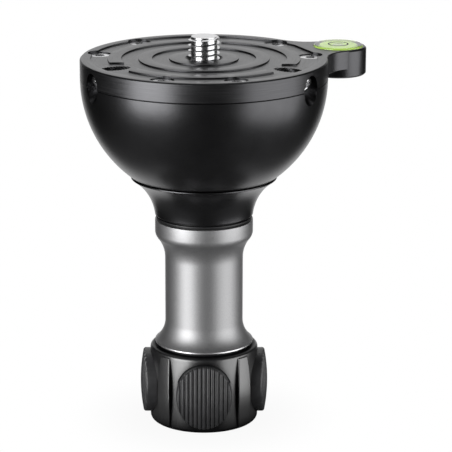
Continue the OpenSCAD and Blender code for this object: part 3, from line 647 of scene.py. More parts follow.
def screw_thread():
    """Tree that winds a thread: a grid that climbs one pitch a turn, drawn in to the axis at both ends."""
    tree, (radius, depth, pitch, shank, start, low, top, point, material) = new_tree(
        "Screw thread", Float=["Radius", "Depth", "Pitch", "Shank", "Thread start", "Low", "Top", "Point"],
        Material=["Material"])
    spare_turns, turns_below = 3, 2
    shallow = 0.7
    crest_end, root_start = 1 / ROWS_A_TURN, 5 / ROWS_A_TURN
    point_slope, draw_in, weld = 1.2, 1.4, 1e-6
    turns = ((top - low) / pitch).math("CEIL") + spare_turns
    rows = turns * ROWS_A_TURN + 1
    grid = made(tree, "GeometryNodeMeshGrid", {
        "Size X": 1.0, "Size Y": 1.0, "Vertices X": COLUMNS + 1, "Vertices Y": rows}, output="Mesh")
    index = made(tree, "GeometryNodeInputIndex")
    column = (index / rows).math("FLOOR")
    winding = column / COLUMNS
    climb = (index - column * rows) / ROWS_A_TURN
    raw = low + (climb + winding - turns_below) * pitch
    off_crest = (climb.math("FRACT") - 0.5).math("ABSOLUTE")
    above_crest = (climb + 0.5).math("FRACT")
    sunk = depth * (above_crest * (1 - shallow) + shallow)
    flank = off_crest.ranged(crest_end, root_start, radius, radius - sunk)
    below_top = top - raw
    threaded = raw.math("GREATER_THAN", start)
    body = flank.math("MINIMUM", shank + threaded * radius)
    beyond = (low - raw).math("MAXIMUM", below_top * -1)
    keep = (1 - beyond * draw_in / pitch).math("MAXIMUM", 0).math("MINIMUM", 1)
    at_end = beyond.math("GREATER_THAN", 0)
    end_r = body.math("MINIMUM", radius - point) * keep
    side_r = body.math("MINIMUM", radius - point + below_top * point_slope)
    z = raw.math("MAXIMUM", low).math("MINIMUM", top)
    place = on_circle(winding * (2 * pi), at_end * end_r + (1 - at_end) * side_r, z)
    wound = made(tree, "GeometryNodeSetPosition", {"Geometry": grid, "Position": place})
    closed = made(tree, "GeometryNodeMergeByDistance", {"Geometry": wound, "Distance": weld})
    return end_tree(closed, material)


def noise(coords, size, detail=2.0):
    """Noise whose grains have that size in millimetres."""
    return made(coords.tree, "ShaderNodeTexNoise", {
        "Vector": coords, "Scale": 1 / (size * MM), "Detail": detail, "Roughness": NOISE_GRIT}, output="Fac")


def lathe_coords(coords):
    """Coordinates in which noise runs round the axis, as a lathe tool's marks do."""
    x, y, z = coords.xyz()
    streak = 0.4 * MM
    return vector(coords.tree, X=from_axis(x, y), Y=y.math("ARCTAN2", x) * streak, Z=z)


def add_finish(key, name, colour, metallic, roughness, grain=None, lathe=False, uneven=None, bump=None,
               patches=None, shades=None, sockets=None):
    """Makes a finish, and gives its tree and its shader.

    Sizes and depths are in millimetres. The grain has a size and a detail, and runs round the axis on turned
    pieces. It takes the roughness down and up by the two amounts of uneven, and makes a bump of a depth and a
    strength. The colour goes between two shades, over patches of a size or else with the grain.
    """
    material = FINISHES[key] = bpy.data.materials.new(name)
    material.use_nodes = True
    tree = material.node_tree
    shader = tree.nodes["Principled BSDF"]
    constants = {"Base Color": (*colour, 1), "Metallic": metallic, "Roughness": roughness}
    for socket, value in {**constants, **(sockets or {})}.items():
        shader.inputs[socket].default_value = value
    coords = made(tree, "ShaderNodeTexCoord", output="Object")
    if grain:
        marks = noise(lathe_coords(coords) if lathe else coords, *grain)
    if uneven:
        down, up = uneven
        marks.ranged(*NOISE_SPAN, roughness - down, roughness + up).into(shader.inputs["Roughness"])
    if bump:
        depth, strength = bump
        made(tree, "ShaderNodeBump", {"Height": marks, "Distance": depth * MM, "Strength": strength}).into(
            shader.inputs["Normal"])
    if shades:
        low, high = shades
        shade = (noise(coords, patches) if patches else marks).ranged(*NOISE_SPAN)
        made(tree, "ShaderNodeMix", {
            0: shade, 6: (*[c * low for c in colour], 1), 7: (*[min(1, c * high) for c in colour], 1),
        }, output=2, data_type="RGBA").into(shader.inputs["Base Color"])
    return tree, shader


def paint_top_and_nook_shade(tree, shader):
    """Paints shade on a finish: takes its gloss where it faces up and where it lies in a nook, so that these
    parts render darker than the lamps alone make them.
    """
    steep, flat, painted_top_shade_gloss = 0.5, 0.95, 0.1
    near, deep, clear, painted_nook_shade_gloss = 5 * MM, 0.55, 0.92, 0.05
    up = made(tree, "ShaderNodeTexCoord", output="Normal").xyz()[2]
    openness = made(tree, "ShaderNodeAmbientOcclusion", {"Distance": near}, output="AO", samples=16)
    # The specular level here is a painted shade mask: it is lowered on upward faces, and by ambient occlusion
    # in nooks.
    gloss = up.ranged(steep, flat, 1.0, painted_top_shade_gloss) * openness.ranged(deep, clear, painted_nook_shade_gloss, 1.0)
    gloss.into(shader.inputs["Specular IOR Level"])


def make_finishes(f):
    """Makes every finish of the pieces once."""
    add_finish("ball", "satin_black_anodise", f.ball, 1, f.ball_gloss, grain=(0.16, 2), uneven=(0.04, 0.04),
               bump=(0.003, 0.5), patches=9, shades=(0.9, 1.1))
    add_finish("plate", "turned_black_anodise", f.plate, 1, f.plate_gloss, grain=(0.12, 3), lathe=True,
               uneven=(0.06, 0.06), bump=(0.006, 0.7), shades=(0.8, 1.2))
    add_finish("handle", "blasted_grey_anodise", f.handle, 1, f.handle_gloss, grain=(0.3, 3),
               uneven=(0.05, 0.05), bump=(0.012, 0.6), shades=(0.9, 1.12))
    add_finish("lip", "polished_edge", (0.8, 0.8, 0.81), 1, 0.36, grain=(0.1, 2), lathe=True,
               uneven=(0.06, 0.06), bump=(0.002, 1.0))
    add_finish("steel", "bright_steel", f.steel, 1, f.steel_gloss, grain=(0.25, 3), uneven=(0.05, 0.08),
               bump=(0.002, 0.4), shades=(0.86, 1.1))
    # The knob's finish gets painted shade on its upward faces and in its nooks.
    knob = add_finish("knob", "moulded_black", f.knob, 0, f.knob_gloss, grain=(0.22, 3),
                      uneven=(0.05, 0.06), bump=(0.006, 0.6), patches=7, shades=(0.85, 1.2),
                      sockets={"IOR": 1.65})
    paint_top_and_nook_shade(*knob)
    add_finish("pad", "grip_rubber", f.pad, 0, 0.4, grain=(0.12, 4), uneven=(0.06, 0.06), bump=(0.008, 0.7),
               patches=3, shades=(0.8, 1.3), sockets={"Specular IOR Level": 0.5})
    add_finish("liner", "liner_rubber", (0.02, 0.02, 0.021), 0, 0.75, grain=(0.3, 4), bump=(0.03, 1.0),
               shades=(0.6, 1.6))
    add_finish("nylon", "bush_nylon", (0.008, 0.008, 0.009), 0, 0.45, grain=(0.2, 3), uneven=(0.07, 0.09),
               patches=4, shades=(0.8, 1.3))
    add_finish("brass", "insert_brass", f.brass, 1, 0.25, grain=(0.15, 3), lathe=True, uneven=(0.05, 0.09),
               shades=(0.8, 1.15))
    add_finish("clear", "clear_acrylic", (0.93, 0.97, 0.97), 0, 0.03, grain=(0.8, 2), uneven=(0.01, 0.03),
               sockets={"IOR": 1.49, "Transmission Weight": 1.0})
    # The fluid's emission is a painted glow: the fluid lights itself though it is no lamp.
    add_finish("fluid", "lime_fluid_painted_glow", f.fluid, 0, 0.25, patches=5, shades=(0.9, 1.1),
               sockets={"Emission Color": (*f.fluid, 1), "Emission Strength": 0.4})
    # The bubble's lighter lime is a painted highlight, standing in for the light that the bubble catches.
    gain, lift = 1.35, 0.08
    painted_glint_colour = [min(1, c * gain + lift) for c in f.fluid]
    add_finish("bubble", "bubble_glint", painted_glint_colour, 0, 0.08, patches=1.5, shades=(0.92, 1.05))
    add_finish("ink", "target_ink", (0.01, 0.012, 0.01), 0, 0.8, patches=0.3, shades=(0.7, 1.4),
               sockets={"Specular IOR Level": 0.1})
    add_finish("plug", "plug_cream", (0.72, 0.76, 0.62), 0, 0.5, patches=2, shades=(0.92, 1.06))


def settings():
    """The settings of the base in this scene."""
    return bpy.context.scene.leveling_base


def set_axes(s):
    """Placing matrices of the three set screws by name, with +Z running in and up from the seam."""
    climb = s.plate.top - s.plate.channel_depth
    slope = atan2(climb, s.screws.set_inset)
    places = {}
    for i, name in enumerate(("right", "rear", "left")):
        azimuth = s.plate.pattern + pi / 3 + i * 2 * pi / 3
        places[name] = (facing(azimuth) @ Matrix.Translation((s.plate.radius, 0, 0))
                        @ Matrix.Rotation(slope - pi / 2, 4, "Y"))
    return places


def zigzag(low, high, start, end, pitch):
    """Outline of a thread between two radii, from one height to another."""
    turns = ceil(abs(end - start) / pitch)
    points = []
    for i in range(turns):
        for part, r in ((0.1, low), (0.4, high), (0.6, high), (0.9, low)):
            points.append((r, start + (end - start) * (i + part) / turns))
    return points


def set_screw_cutters(s):
    """Cutters of the three inclined holes: a wide access hole at the seam and a threaded bore."""
    k = s.screws
    low, high = -9 * MM, 16 * MM
    bore = k.set_radius + RUNNING
    outline = [(0, low), (k.access, low), (k.access, k.access_depth), (bore, k.access_depth)]
    outline += zigzag(bore, bore + SET_THREAD, k.access_depth + SET_THREAD, high, k.set_pitch)
    outline += [(bore, high), (0, high)]
    return gather([turned("set_hole", outline, COARSE, place) for place in set_axes(s).values()])


def on_ear(v):
    """Placing matrix of the ear's axis."""
    return facing(v.azimuth) @ Matrix.Translation((v.out, 0, 0))


class PieceOperator:
    """What the operators of the pieces share."""
    bl_options = {"REGISTER", "UNDO"}


class LEVELINGBASE_OT_finishes(PieceOperator, bpy.types.Operator):
    """Makes the finishes of all the pieces"""
    bl_idname = "leveling_base.finishes"
    bl_label = "Finishes"

    def execute(self, context):
        make_finishes(settings().finish)
        return {"FINISHED"}


class LEVELINGBASE_OT_plate(PieceOperator, bpy.types.Operator):
    """Makes the top plate with its rings, ear, recesses and holes"""
    bl_idname = "leveling_base.plate"
    bl_label = "Top plate"

    channels = 3
    over = 2 * MM

    def execute(self, context):
        s = settings()
        plate = self.disc(s.plate)
        combine(plate, self.boss(s), "UNION")
        combine(plate, self.neck(s), "UNION")
        combine(plate, self.pockets(s), "DIFFERENCE")
        combine(plate, set_screw_cutters(s), "DIFFERENCE")
        dress(plate, "plate", "bowl", "anodised_black", "top_plate")
        return {"FINISHED"}

    def disc(self, p):
        """The round plate with its ring channels."""
        floor = p.top - p.channel_depth
        outline = [
            (p.stud_hole, -p.spigot_depth), (p.spigot, -p.spigot_depth), (p.spigot, 0),
            (p.radius - p.seam, 0), (p.radius, p.seam), (p.radius, p.top - p.chamfer, p.soft),
            (p.radius - p.chamfer, p.top, p.soft),
        ]
        outer = p.radius - p.rim
        for _ in range(self.channels):
            inner = outer - p.channel
            outline += [(outer, p.top, p.soft), (outer, floor, p.soft), (inner, floor, p.soft),
                        (inner, p.top, p.soft)]
            outer = inner - p.ring
        outline += [(p.stud_hole + p.stud_chamfer, p.top, p.soft), (p.stud_hole, p.top - p.stud_chamfer)]
        return turned("top_plate_visual", outline, SMOOTH)

    def boss(self, s):
        """The ear's boss, kept clear of the ball."""
        v, top = s.level, s.plate.top
        ball_room = 0.2 * MM
        boss = turned("boss", [
            (0, -v.drop), (v.boss - v.edge, -v.drop, CRISP), (v.boss, v.edge - v.drop, CRISP),
            (v.boss, top - v.edge, CRISP), (v.boss - v.edge, top, CRISP), (0, top),
        ], MEDIUM, on_ear(v))
        ball = [(0, 0)] + arc(0, 0, s.plate.radius + ball_room, 0, -90, steps=32)
        combine(boss, turned("ball_room", ball, SMOOTH), "DIFFERENCE")
        return boss

    def neck(self, s):
        """The ear's neck between its two concave fillets, with softened edges."""
        v, r, top = s.level, s.plate.radius, s.plate.top
        overlap, sunk, tip, edge = 0.02 * MM, 0.7 * MM, 0.5 * MM, 0.25 * MM
        bite = v.fillet - overlap
        x = ((r + bite) ** 2 + v.out ** 2 - (v.boss + bite) ** 2) / (2 * v.out)
        y = sqrt((r + bite) ** 2 - x ** 2)
        start = degrees(atan2(-y, -x))
        end = degrees(atan2(-y, v.out - x))
        root = (r - sunk) / (r + bite)

        def ring(fillet, z):
            upper = [(x * root, y * root)] + arc(x, y, fillet, start, end, steps=24) + [(v.out, tip)]
            return [(px, py, z) for px, py in upper + [(px, -py) for px, py in reversed(upper)]]

        return lofted("neck", [ring(v.fillet + edge, 0), ring(v.fillet, edge), ring(v.fillet, top - edge),
                               ring(v.fillet + edge, top)], facing(v.azimuth))

    def pockets(self, s):
        """Cutters of the screws' counterbores, the set screws' recesses and the level's pocket."""
        p, k, v = s.plate, s.screws, s.level
        floor = p.top - p.channel_depth
        low = floor - k.sink - k.head_height
        above = p.top + self.over
        counterbore = [(0, low), (k.bore, low, SOFT), (k.bore, above), (0, above)]
        inset = Matrix.Translation((p.radius - k.inset, 0, 0))
        cutters = []
        for i in range(k.groups):
            middle = p.pattern + i * 2 * pi / k.groups
            for side in (-1, 1):
                place = facing(middle + side * k.half_angle) @ inset
                cutters.append(turned("counterbore", counterbore, COARSE, place))
            cutters.append(self.recess(p, k, middle + pi / k.groups, floor, above))
        mouth, edge = v.case + PRESSED, 0.15 * MM
        cutters.append(turned("level_pocket", [
            (0, v.low), (mouth, v.low), (mouth, p.top - edge), (mouth + edge, p.top), (mouth + edge, above),
            (0, above)], ROUND, on_ear(v)))
        return gather(cutters)

    def recess(self, p, k, azimuth, floor, above):
        """Cutter of one recess, held inside the rim and a hair deeper than the channels."""
        hair, edge = 0.01 * MM, 0.12 * MM
        limit = p.radius - p.rim
        middle = p.radius - k.set_inset

        def ring(r, z):
            points = []
            for i in range(ROUND):
                a = 2 * pi * i / ROUND
                x, y = middle + r * cos(a), r * sin(a)
                held = min(1, limit / hypot(x, y))
                points.append((x * held, y * held, z))
            return points

        return lofted("recess", [
            ring(p.recess, floor - hair), ring(p.recess, p.top - edge), ring(p.recess + edge, p.top),
            ring(p.recess + edge, above)], facing(azimuth))


class LEVELINGBASE_OT_ball(PieceOperator, bpy.types.Operator):
    """Makes the hollow half ball with its access holes"""
    bl_idname = "leveling_base.ball"
    bl_label = "Half ball"

    def execute(self, context):
        s = settings()
        b, seam = s.ball, s.plate.seam
        inside = b.radius - b.wall
        boss_top = b.flat + b.boss_height
        low = degrees(asin(b.flat / b.radius))
        start = degrees(asin(-seam / b.radius))
        cavity_low = degrees(-asin(sqrt(inside ** 2 - b.boss ** 2) / inside))
        cavity_top = degrees(asin(-b.register_depth / inside))
        outside = arc(0, 0, b.radius, start, low, steps=64)
        outside[-1] = (*outside[-1], CRISP)
        outline = [(b.radius - seam, 0)] + outside
        outline += [(b.rod_hole, b.flat), (b.rod_hole, boss_top), (b.boss, boss_top, FULL)]
        outline += arc(0, 0, inside, cavity_low, cavity_top, steps=40)
        outline += [(b.register, -b.register_depth), (b.register, 0)]
        ball = turned("half_ball_visual", outline, SMOOTH)
        combine(ball, set_screw_cutters(s), "DIFFERENCE")
        dress(ball, "ball", "bowl", "anodised_black", "half_ball")
        return {"FINISHED"}


class LEVELINGBASE_OT_plate_screws(PieceOperator, bpy.types.Operator):
    """Makes the six socket screws of the plate"""
    bl_idname = "leveling_base.plate_screws"
    bl_label = "Plate screws"

    def execute(self, context):
        s = settings()
        p, k = s.plate, s.screws
        point, edge_drop, edge_inset, socket = 0.4 * MM, 0.3 * MM, 0.35 * MM, 1.2 * MM
        top = p.top - p.channel_depth - k.sink
        seat = top - k.head_height
        screw = turned("plate_screw", [
            (0, -k.shank_length), (k.shank - point, -k.shank_length), (k.shank, point - k.shank_length),
            (k.shank, seat), (k.head, seat, KEEN), (k.head, top - edge_drop, MILD),
            (k.head - edge_inset, top, SOFT), (0, top),
        ], COARSE)
        combine(screw, hexagon(k.key, socket, top), "DIFFERENCE")
        screws = round_axis("plate_screws_visual", screw, "steel", k.groups, p.pattern - pi / 2,
                            per_group=2, half_angle=k.half_angle, radius=p.radius - k.inset)
        dress(screws, "steel", "bowl", "bright_steel", "plate_screws")
        return {"FINISHED"}


class LEVELINGBASE_OT_stud(PieceOperator, bpy.types.Operator):
    """Winds the threaded stud that carries a head"""
    bl_idname = "leveling_base.stud"
    bl_label = "Head stud"

    def execute(self, context):
        t = settings().stud
        stud = grown("head_stud_visual", screw_thread(), {
            "Radius": t.radius, "Depth": t.depth, "Pitch": t.pitch, "Shank": t.shank,
            "Thread start": t.thread_low, "Low": t.low, "Top": t.top, "Point": t.point,
            "Material": FINISHES["steel"],
        })
        dress(stud, "steel", "bowl", "bright_steel", "head_stud", crease=40)
        return {"FINISHED"}


class LEVELINGBASE_OT_set_screws(PieceOperator, bpy.types.Operator):
    """Makes the three inclined set screws, each on its own body"""
    bl_idname = "leveling_base.set_screws"
    bl_label = "Set screws"

    def execute(self, context):
        s = settings()
        k = s.screws
        root, point, socket = k.set_radius - SET_THREAD, 0.9 * MM, 1.3 * MM
        outline = [(0, 0), (root, 0, KEEN)]
        outline += zigzag(root, k.set_radius, SET_THREAD, k.set_length - point, k.set_pitch)
        outline += [(k.set_radius - point, k.set_length, KEEN), (0, k.set_length)]
        flip = Matrix.Rotation(pi, 4, "X")
        for side, place in set_axes(s).items():
            name = "set_screw_" + side
            screw = turned(name + "_visual", outline, COARSE, flip)
            combine(screw, hexagon(k.key, socket, 0), "DIFFERENCE")
            screw.data.transform(place @ Matrix.Translation((0, 0, k.set_sink)) @ flip)
            dress(screw, "steel", name, "bright_steel", name)
        return {"FINISHED"}


class LEVELINGBASE_OT_level(PieceOperator, bpy.types.Operator):
    """Makes the bubble level: clear case, fluid, bubble and target ring"""
    bl_idname = "leveling_base.level"
    bl_label = "Bubble level"

    edge_drop, edge_inset, edge_round = 0.1 * MM, 0.6 * MM, 0.5 * MM
    wet, film = 0.02 * MM, 0.03 * MM
    ink_depth, ink_height = 0.35 * MM, 0.02 * MM

    def execute(self, context):
        v = settings().level
        place = on_ear(v)
        inside = v.case - v.wall
        ceiling = v.top - v.window
        case = turned("level_case_visual", [
            (inside, v.low), (v.case, v.low), (v.case, v.top - self.edge_drop, self.edge_round),
            (v.case - self.edge_inset, v.top, MILD), (0, v.top), (0, ceiling), (inside, ceiling, SOFT),
        ], ROUND, place)
        dress(case, "clear", "bowl", "vial_clear", "level_case")
        self.fluid(v, place, inside + self.wet, ceiling + self.wet)
        low, high = v.top - self.ink_depth, v.top + self.ink_height
        near, far = v.target - v.line / 2, v.target + v.line / 2
        line = [(near, low), (far, low), (far, high), (near, high)]
        dress(turned("level_target_ring", line, ROUND, place), "ink", "bowl", "vial_plug")
        return {"FINISHED"}

    def fluid(self, v, place, side, top):
        """The fluid with a hollow under its top, and the bubble in that hollow."""
        low = v.low + v.plug
        half = v.bubble_height / 2
        x, z = v.bubble - half, top - half
        hollow = arc(x, z, half, 90, -90, steps=10)
        fluid = turned("level_fluid_visual", [
            (0, low), (side, low, SOFT), (side, top, FULL), *hollow, (0, top - v.bubble_height),
        ], ROUND, place)
        dress(fluid, "fluid", "bowl", "vial_fluid", "level_fluid")
        inner = half - self.film
        skin = arc(x, z, inner, -90, 90, steps=10)
        bubble = turned("level_bubble", [(0, z - inner), *skin, (0, z + inner)], COARSE, place)
        dress(bubble, "bubble", "bowl", "vial_fluid")


class LEVELINGBASE_OT_clamp(PieceOperator, bpy.types.Operator):
    """Makes the flared clamp cup under the ball"""
    bl_idname = "leveling_base.clamp"
    bl_label = "Clamp cup"

    liner_in, liner_out, liner_depth = 15.5 * MM, 19.8 * MM, 1 * MM
    rim_round, flare_round = 0.14 * MM, 0.12 * MM
    spigot_room = 0.4 * MM

    def execute(self, context):
        c = settings().clamp
        rim_low = c.cup_top - c.cup_rim_height
        x = c.cup_waist + c.cup_flare
        z = rim_low - sqrt(c.cup_flare ** 2 - (x - c.cup_rim) ** 2)
        start = degrees(atan2(rim_low - z, c.cup_rim - x))
        end = 180 - degrees(asin((c.cup_low - z) / c.cup_flare))
        flare = arc(x, z, c.cup_flare, start, end, steps=40)
        hole = c.rod + ROD_ROOM
        spigot = c.bush + RUNNING
        depth = c.cup_low + c.spigot + self.spigot_room
        liner = c.cup_top - self.liner_depth
        cup = turned("clamp_cup_visual", [
            (hole, c.cup_top), (self.liner_in, c.cup_top), (self.liner_in, liner), (self.liner_out, liner),
            (self.liner_out, c.cup_top, KEEN), (c.cup_rim, c.cup_top, self.rim_round),
            (*flare[0], self.flare_round), *flare[1:-1], (*flare[-1], MILD), (spigot, c.cup_low),
            (spigot, depth), (hole, depth),
        ], SMOOTH)
        dress(cup, "ball", "clamp", "anodised_black", "clamp_cup")
        return {"FINISHED"}


class LEVELINGBASE_OT_handle(PieceOperator, bpy.types.Operator):
    """Makes the waisted handle with its polished lip, and the bush and washer that show beside it"""
    bl_idname = "leveling_base.handle"
    bl_label = "Handle"

    lip_round = 0.08 * MM
    lip_below, lip_face = 0.02 * MM, 0.3 * MM
    bead = 0.25 * MM

    def execute(self, context):
        c = settings().clamp
        self.sleeve(c)
        self.bush(c)
        self.washer(c)
        return {"FINISHED"}

    def sleeve(self, c):
        """The sleeve: a band, a rounded shoulder, a hollow down to the waist, a flare and a lip."""
        band_low = c.top - c.band_height
        radii = c.shoulder + c.hollow
        drop = sqrt(radii ** 2 - (radii - c.band + c.waist) ** 2)
        meet = -degrees(asin(drop / radii))
        lip_top = c.low + c.lip_height
        rise = sqrt(c.flare ** 2 - (c.flare - c.lip + c.waist) ** 2)
        flare_end = 180 + degrees(asin(rise / c.flare))
        seat = c.bush + PRESSED
        seat_low, seat_top = c.low + c.lower_bush, c.top - c.upper_bush
        outline = [(seat, c.top), (c.band, c.top, SOFT)]
        outline += arc(c.band - c.shoulder, band_low, c.shoulder, 0, meet, steps=12)
        outline += arc(c.waist + c.hollow, band_low - drop, c.hollow, meet + 180, 180, steps=20)[1:]
        outline += arc(c.waist + c.flare, lip_top + rise, c.flare, 180, flare_end, steps=24)[:-1]
        outline += [(c.lip, lip_top, self.lip_round), (c.lip, c.low, CRISP)]
        outline += [(seat, c.low), (seat, seat_low), (c.bore, seat_low), (c.bore, seat_top),
                    (seat, seat_top)]
        sleeve = turned("handle_sleeve_visual", outline, SMOOTH)
        dress(sleeve, "handle", "handle", "anodised_grey", "handle_sleeve")
        sleeve.data.materials.append(FINISHES["lip"])
        for face in sleeve.data.polygons:
            if face.center.z < lip_top - self.lip_below and hypot(*face.center.xy) > c.lip - self.lip_face:
                face.material_index = 1

    def bush(self, c):
        """The upper bush, whose beaded flange shows between the cup and the sleeve."""
        inside = c.rod + RUNNING
        low, high = c.top - c.upper_bush, c.cup_low + c.spigot
        middle = (c.top + c.cup_low) / 2
        bead_low, bead_high = middle - self.bead, middle + self.bead
        bush = turned("upper_bush_visual", [
            (inside, low), (c.bush, low), (c.bush, c.top), (c.flange, c.top), (c.flange, bead_low),
            (c.bead, bead_low, KEEN), (c.bead, bead_high, KEEN), (c.flange, bead_high),
            (c.flange, c.cup_low), (c.bush, c.cup_low), (c.bush, high), (inside, high),
        ])
        dress(bush, "nylon", "handle", "bush_nylon", "upper_bush")

    def washer(self, c):
        """The thrust washer between the sleeve and the knob."""
        low, high = level("thrust_washer", 0), level("thrust_washer", 1)
        hole, edge = c.rod + ROD_ROOM, reach("thrust_washer")
        washer = turned("thrust_washer_visual", [
            (hole, low), (edge, low, CRISP), (edge, high, CRISP), (hole, high)])
        dress(washer, "nylon", "handle", "bush_nylon", "thrust_washer")


def knob_middle(k):
    """Height of the knob's middle."""
    return (k.top + k.low) / 2


def pad_oval(k):
    """A pad's oval: height of its ends' centres, offset of its sides' centres, angle where they meet."""
    end_z = k.pad_height - k.pad_end
    nip = k.pad_width - k.pad_end
    side_x = (end_z ** 2 - nip ** 2) / (2 * nip)
    return end_z, side_x, atan2(end_z, side_x)


def pad_outline(k, gap):
    """Points round a pad's oval, eased by gap: two round ends joined by two wide side arcs."""
    end_z, side_x, touch = pad_oval(k)
    touch = degrees(touch)
    quarter = ROUND // 4
    side_steps = quarter // 3
    side = arc(-side_x, 0, k.pad_width + side_x + gap, 0, touch, side_steps)
    end = arc(0, end_z, k.pad_end + gap, touch, 90, quarter - side_steps)
    right = side[:-1] + end
    left = [(-x, z) for x, z in reversed(right[:-1])]
    upper = right + left
    return upper[:-1] + [(-x, -z) for x, z in upper[:-1]]


class LEVELINGBASE_OT_knob(PieceOperator, bpy.types.Operator):
    """Makes the knob with its ridges and pad pockets, and the cap underneath"""
    bl_idname = "leveling_base.knob"
    bl_label = "Knob"

    insert_flange, insert_seat, insert_hollow = 2 * MM, 8.05 * MM, 9.6 * MM
    crest_rings = (0.9, 0.7, 0.5, 0.3, 0.1)
    ridge_steps = 16
    pocket_over = 3 * MM
    cap_groove, cap_groove_depth = 0.72, 0.35 * MM

    def execute(self, context):
        k = settings().knob
        knob = self.body(k)
        ridges = round_axis("ridges", self.ridge(k), "knob", k.grips, pi / k.grips - pi / 2)
        combine(knob, ridges, "UNION")
        pockets = round_axis("pockets", self.pocket(k), "knob", k.grips, -pi / 2)
        combine(knob, pockets, "DIFFERENCE")
        dress(knob, "knob", "knob", "knob_black", "knob_body", crease=28)
        self.cap(k)
        return {"FINISHED"}

    def body(self, k):
        """The round knob, hollow for the insert and the cap."""
        hole, seat, hollow = settings().clamp.rod + ROD_ROOM, self.insert_seat, self.insert_hollow
        mouth = k.cap + PRESSED
        flange = level("knob_insert", 0) + self.insert_flange
        insert_top = level("knob_insert", 1)
        return turned("knob_body_visual", [
            (hole, k.top), (k.radius, k.top, k.shoulder), (k.radius, k.low, k.foot), (mouth, k.low, CRISP),
            (mouth, k.cap_top), (hollow, k.cap_top), (hollow, flange), (seat, flange), (seat, insert_top),
            (hole, insert_top),
        ], SMOOTH)

    def ridge(self, k):
        """One upright ridge along +X: a lens with an arched, crowned crest and a rounded edge."""
        middle = knob_middle(k)
        half = k.ridge_height / 2
        bulge = k.ridge - k.ridge_end
        arch = (half ** 2 + bulge ** 2) / (2 * bulge)
        taper = (k.ridge_width - k.ridge_tip) / 2
        side = (half ** 2 + taper ** 2) / (2 * taper)

        def ring(inset, drop, part=1.0):
            heights = [(half - inset) * (i / self.ridge_steps - 1) for i in range(2 * self.ridge_steps + 1)]
            widths = [sqrt((side - inset) ** 2 - z ** 2) - side + k.ridge_width / 2 for z in heights]
            flank = [(part * y, z) for y, z in zip(widths, heights)]
            points = []
            for y, z in flank + [(-y, z) for y, z in reversed(flank)]:
                crest = k.ridge - arch + sqrt(arch ** 2 - z ** 2)
                crown = k.ridge_crown * (2 * y / k.ridge_width) ** 2
                points.append((crest - crown - drop, y, middle + z))
            return points

        edge = k.ridge_round
        rings = [[(k.seat, y, z) for _, y, z in ring(0, 0)]]
        rings += [ring(inset, drop) for inset, drop in rolled(edge)]
        rings += [ring(edge, 0, part) for part in self.crest_rings]
        return lofted("ridge", rings, strips=True)

    def pocket(self, k):
        """Cutter of one pad's pocket along +X."""
        outline = pad_outline(k, k.pad_gap)
        depths = k.seat, k.pad + self.pocket_over
        return lofted("pocket", [[(x, y, knob_middle(k) + z) for y, z in outline] for x in depths])

    def cap(self, k):
        """The cap that closes the knob from below, with a groove round it."""
        groove, depth = k.cap * self.cap_groove, self.cap_groove_depth
        cap = turned("knob_cap_visual", [
            (0, k.cap_low), (groove - depth, k.cap_low, KEEN), (groove, k.cap_low + depth, KEEN),
            (groove + depth, k.cap_low, KEEN), (k.cap, k.cap_low, MILD), (k.cap, k.cap_top), (0, k.cap_top),
        ], MEDIUM)
        dress(cap, "knob", "knob", "knob_black", "knob_cap")


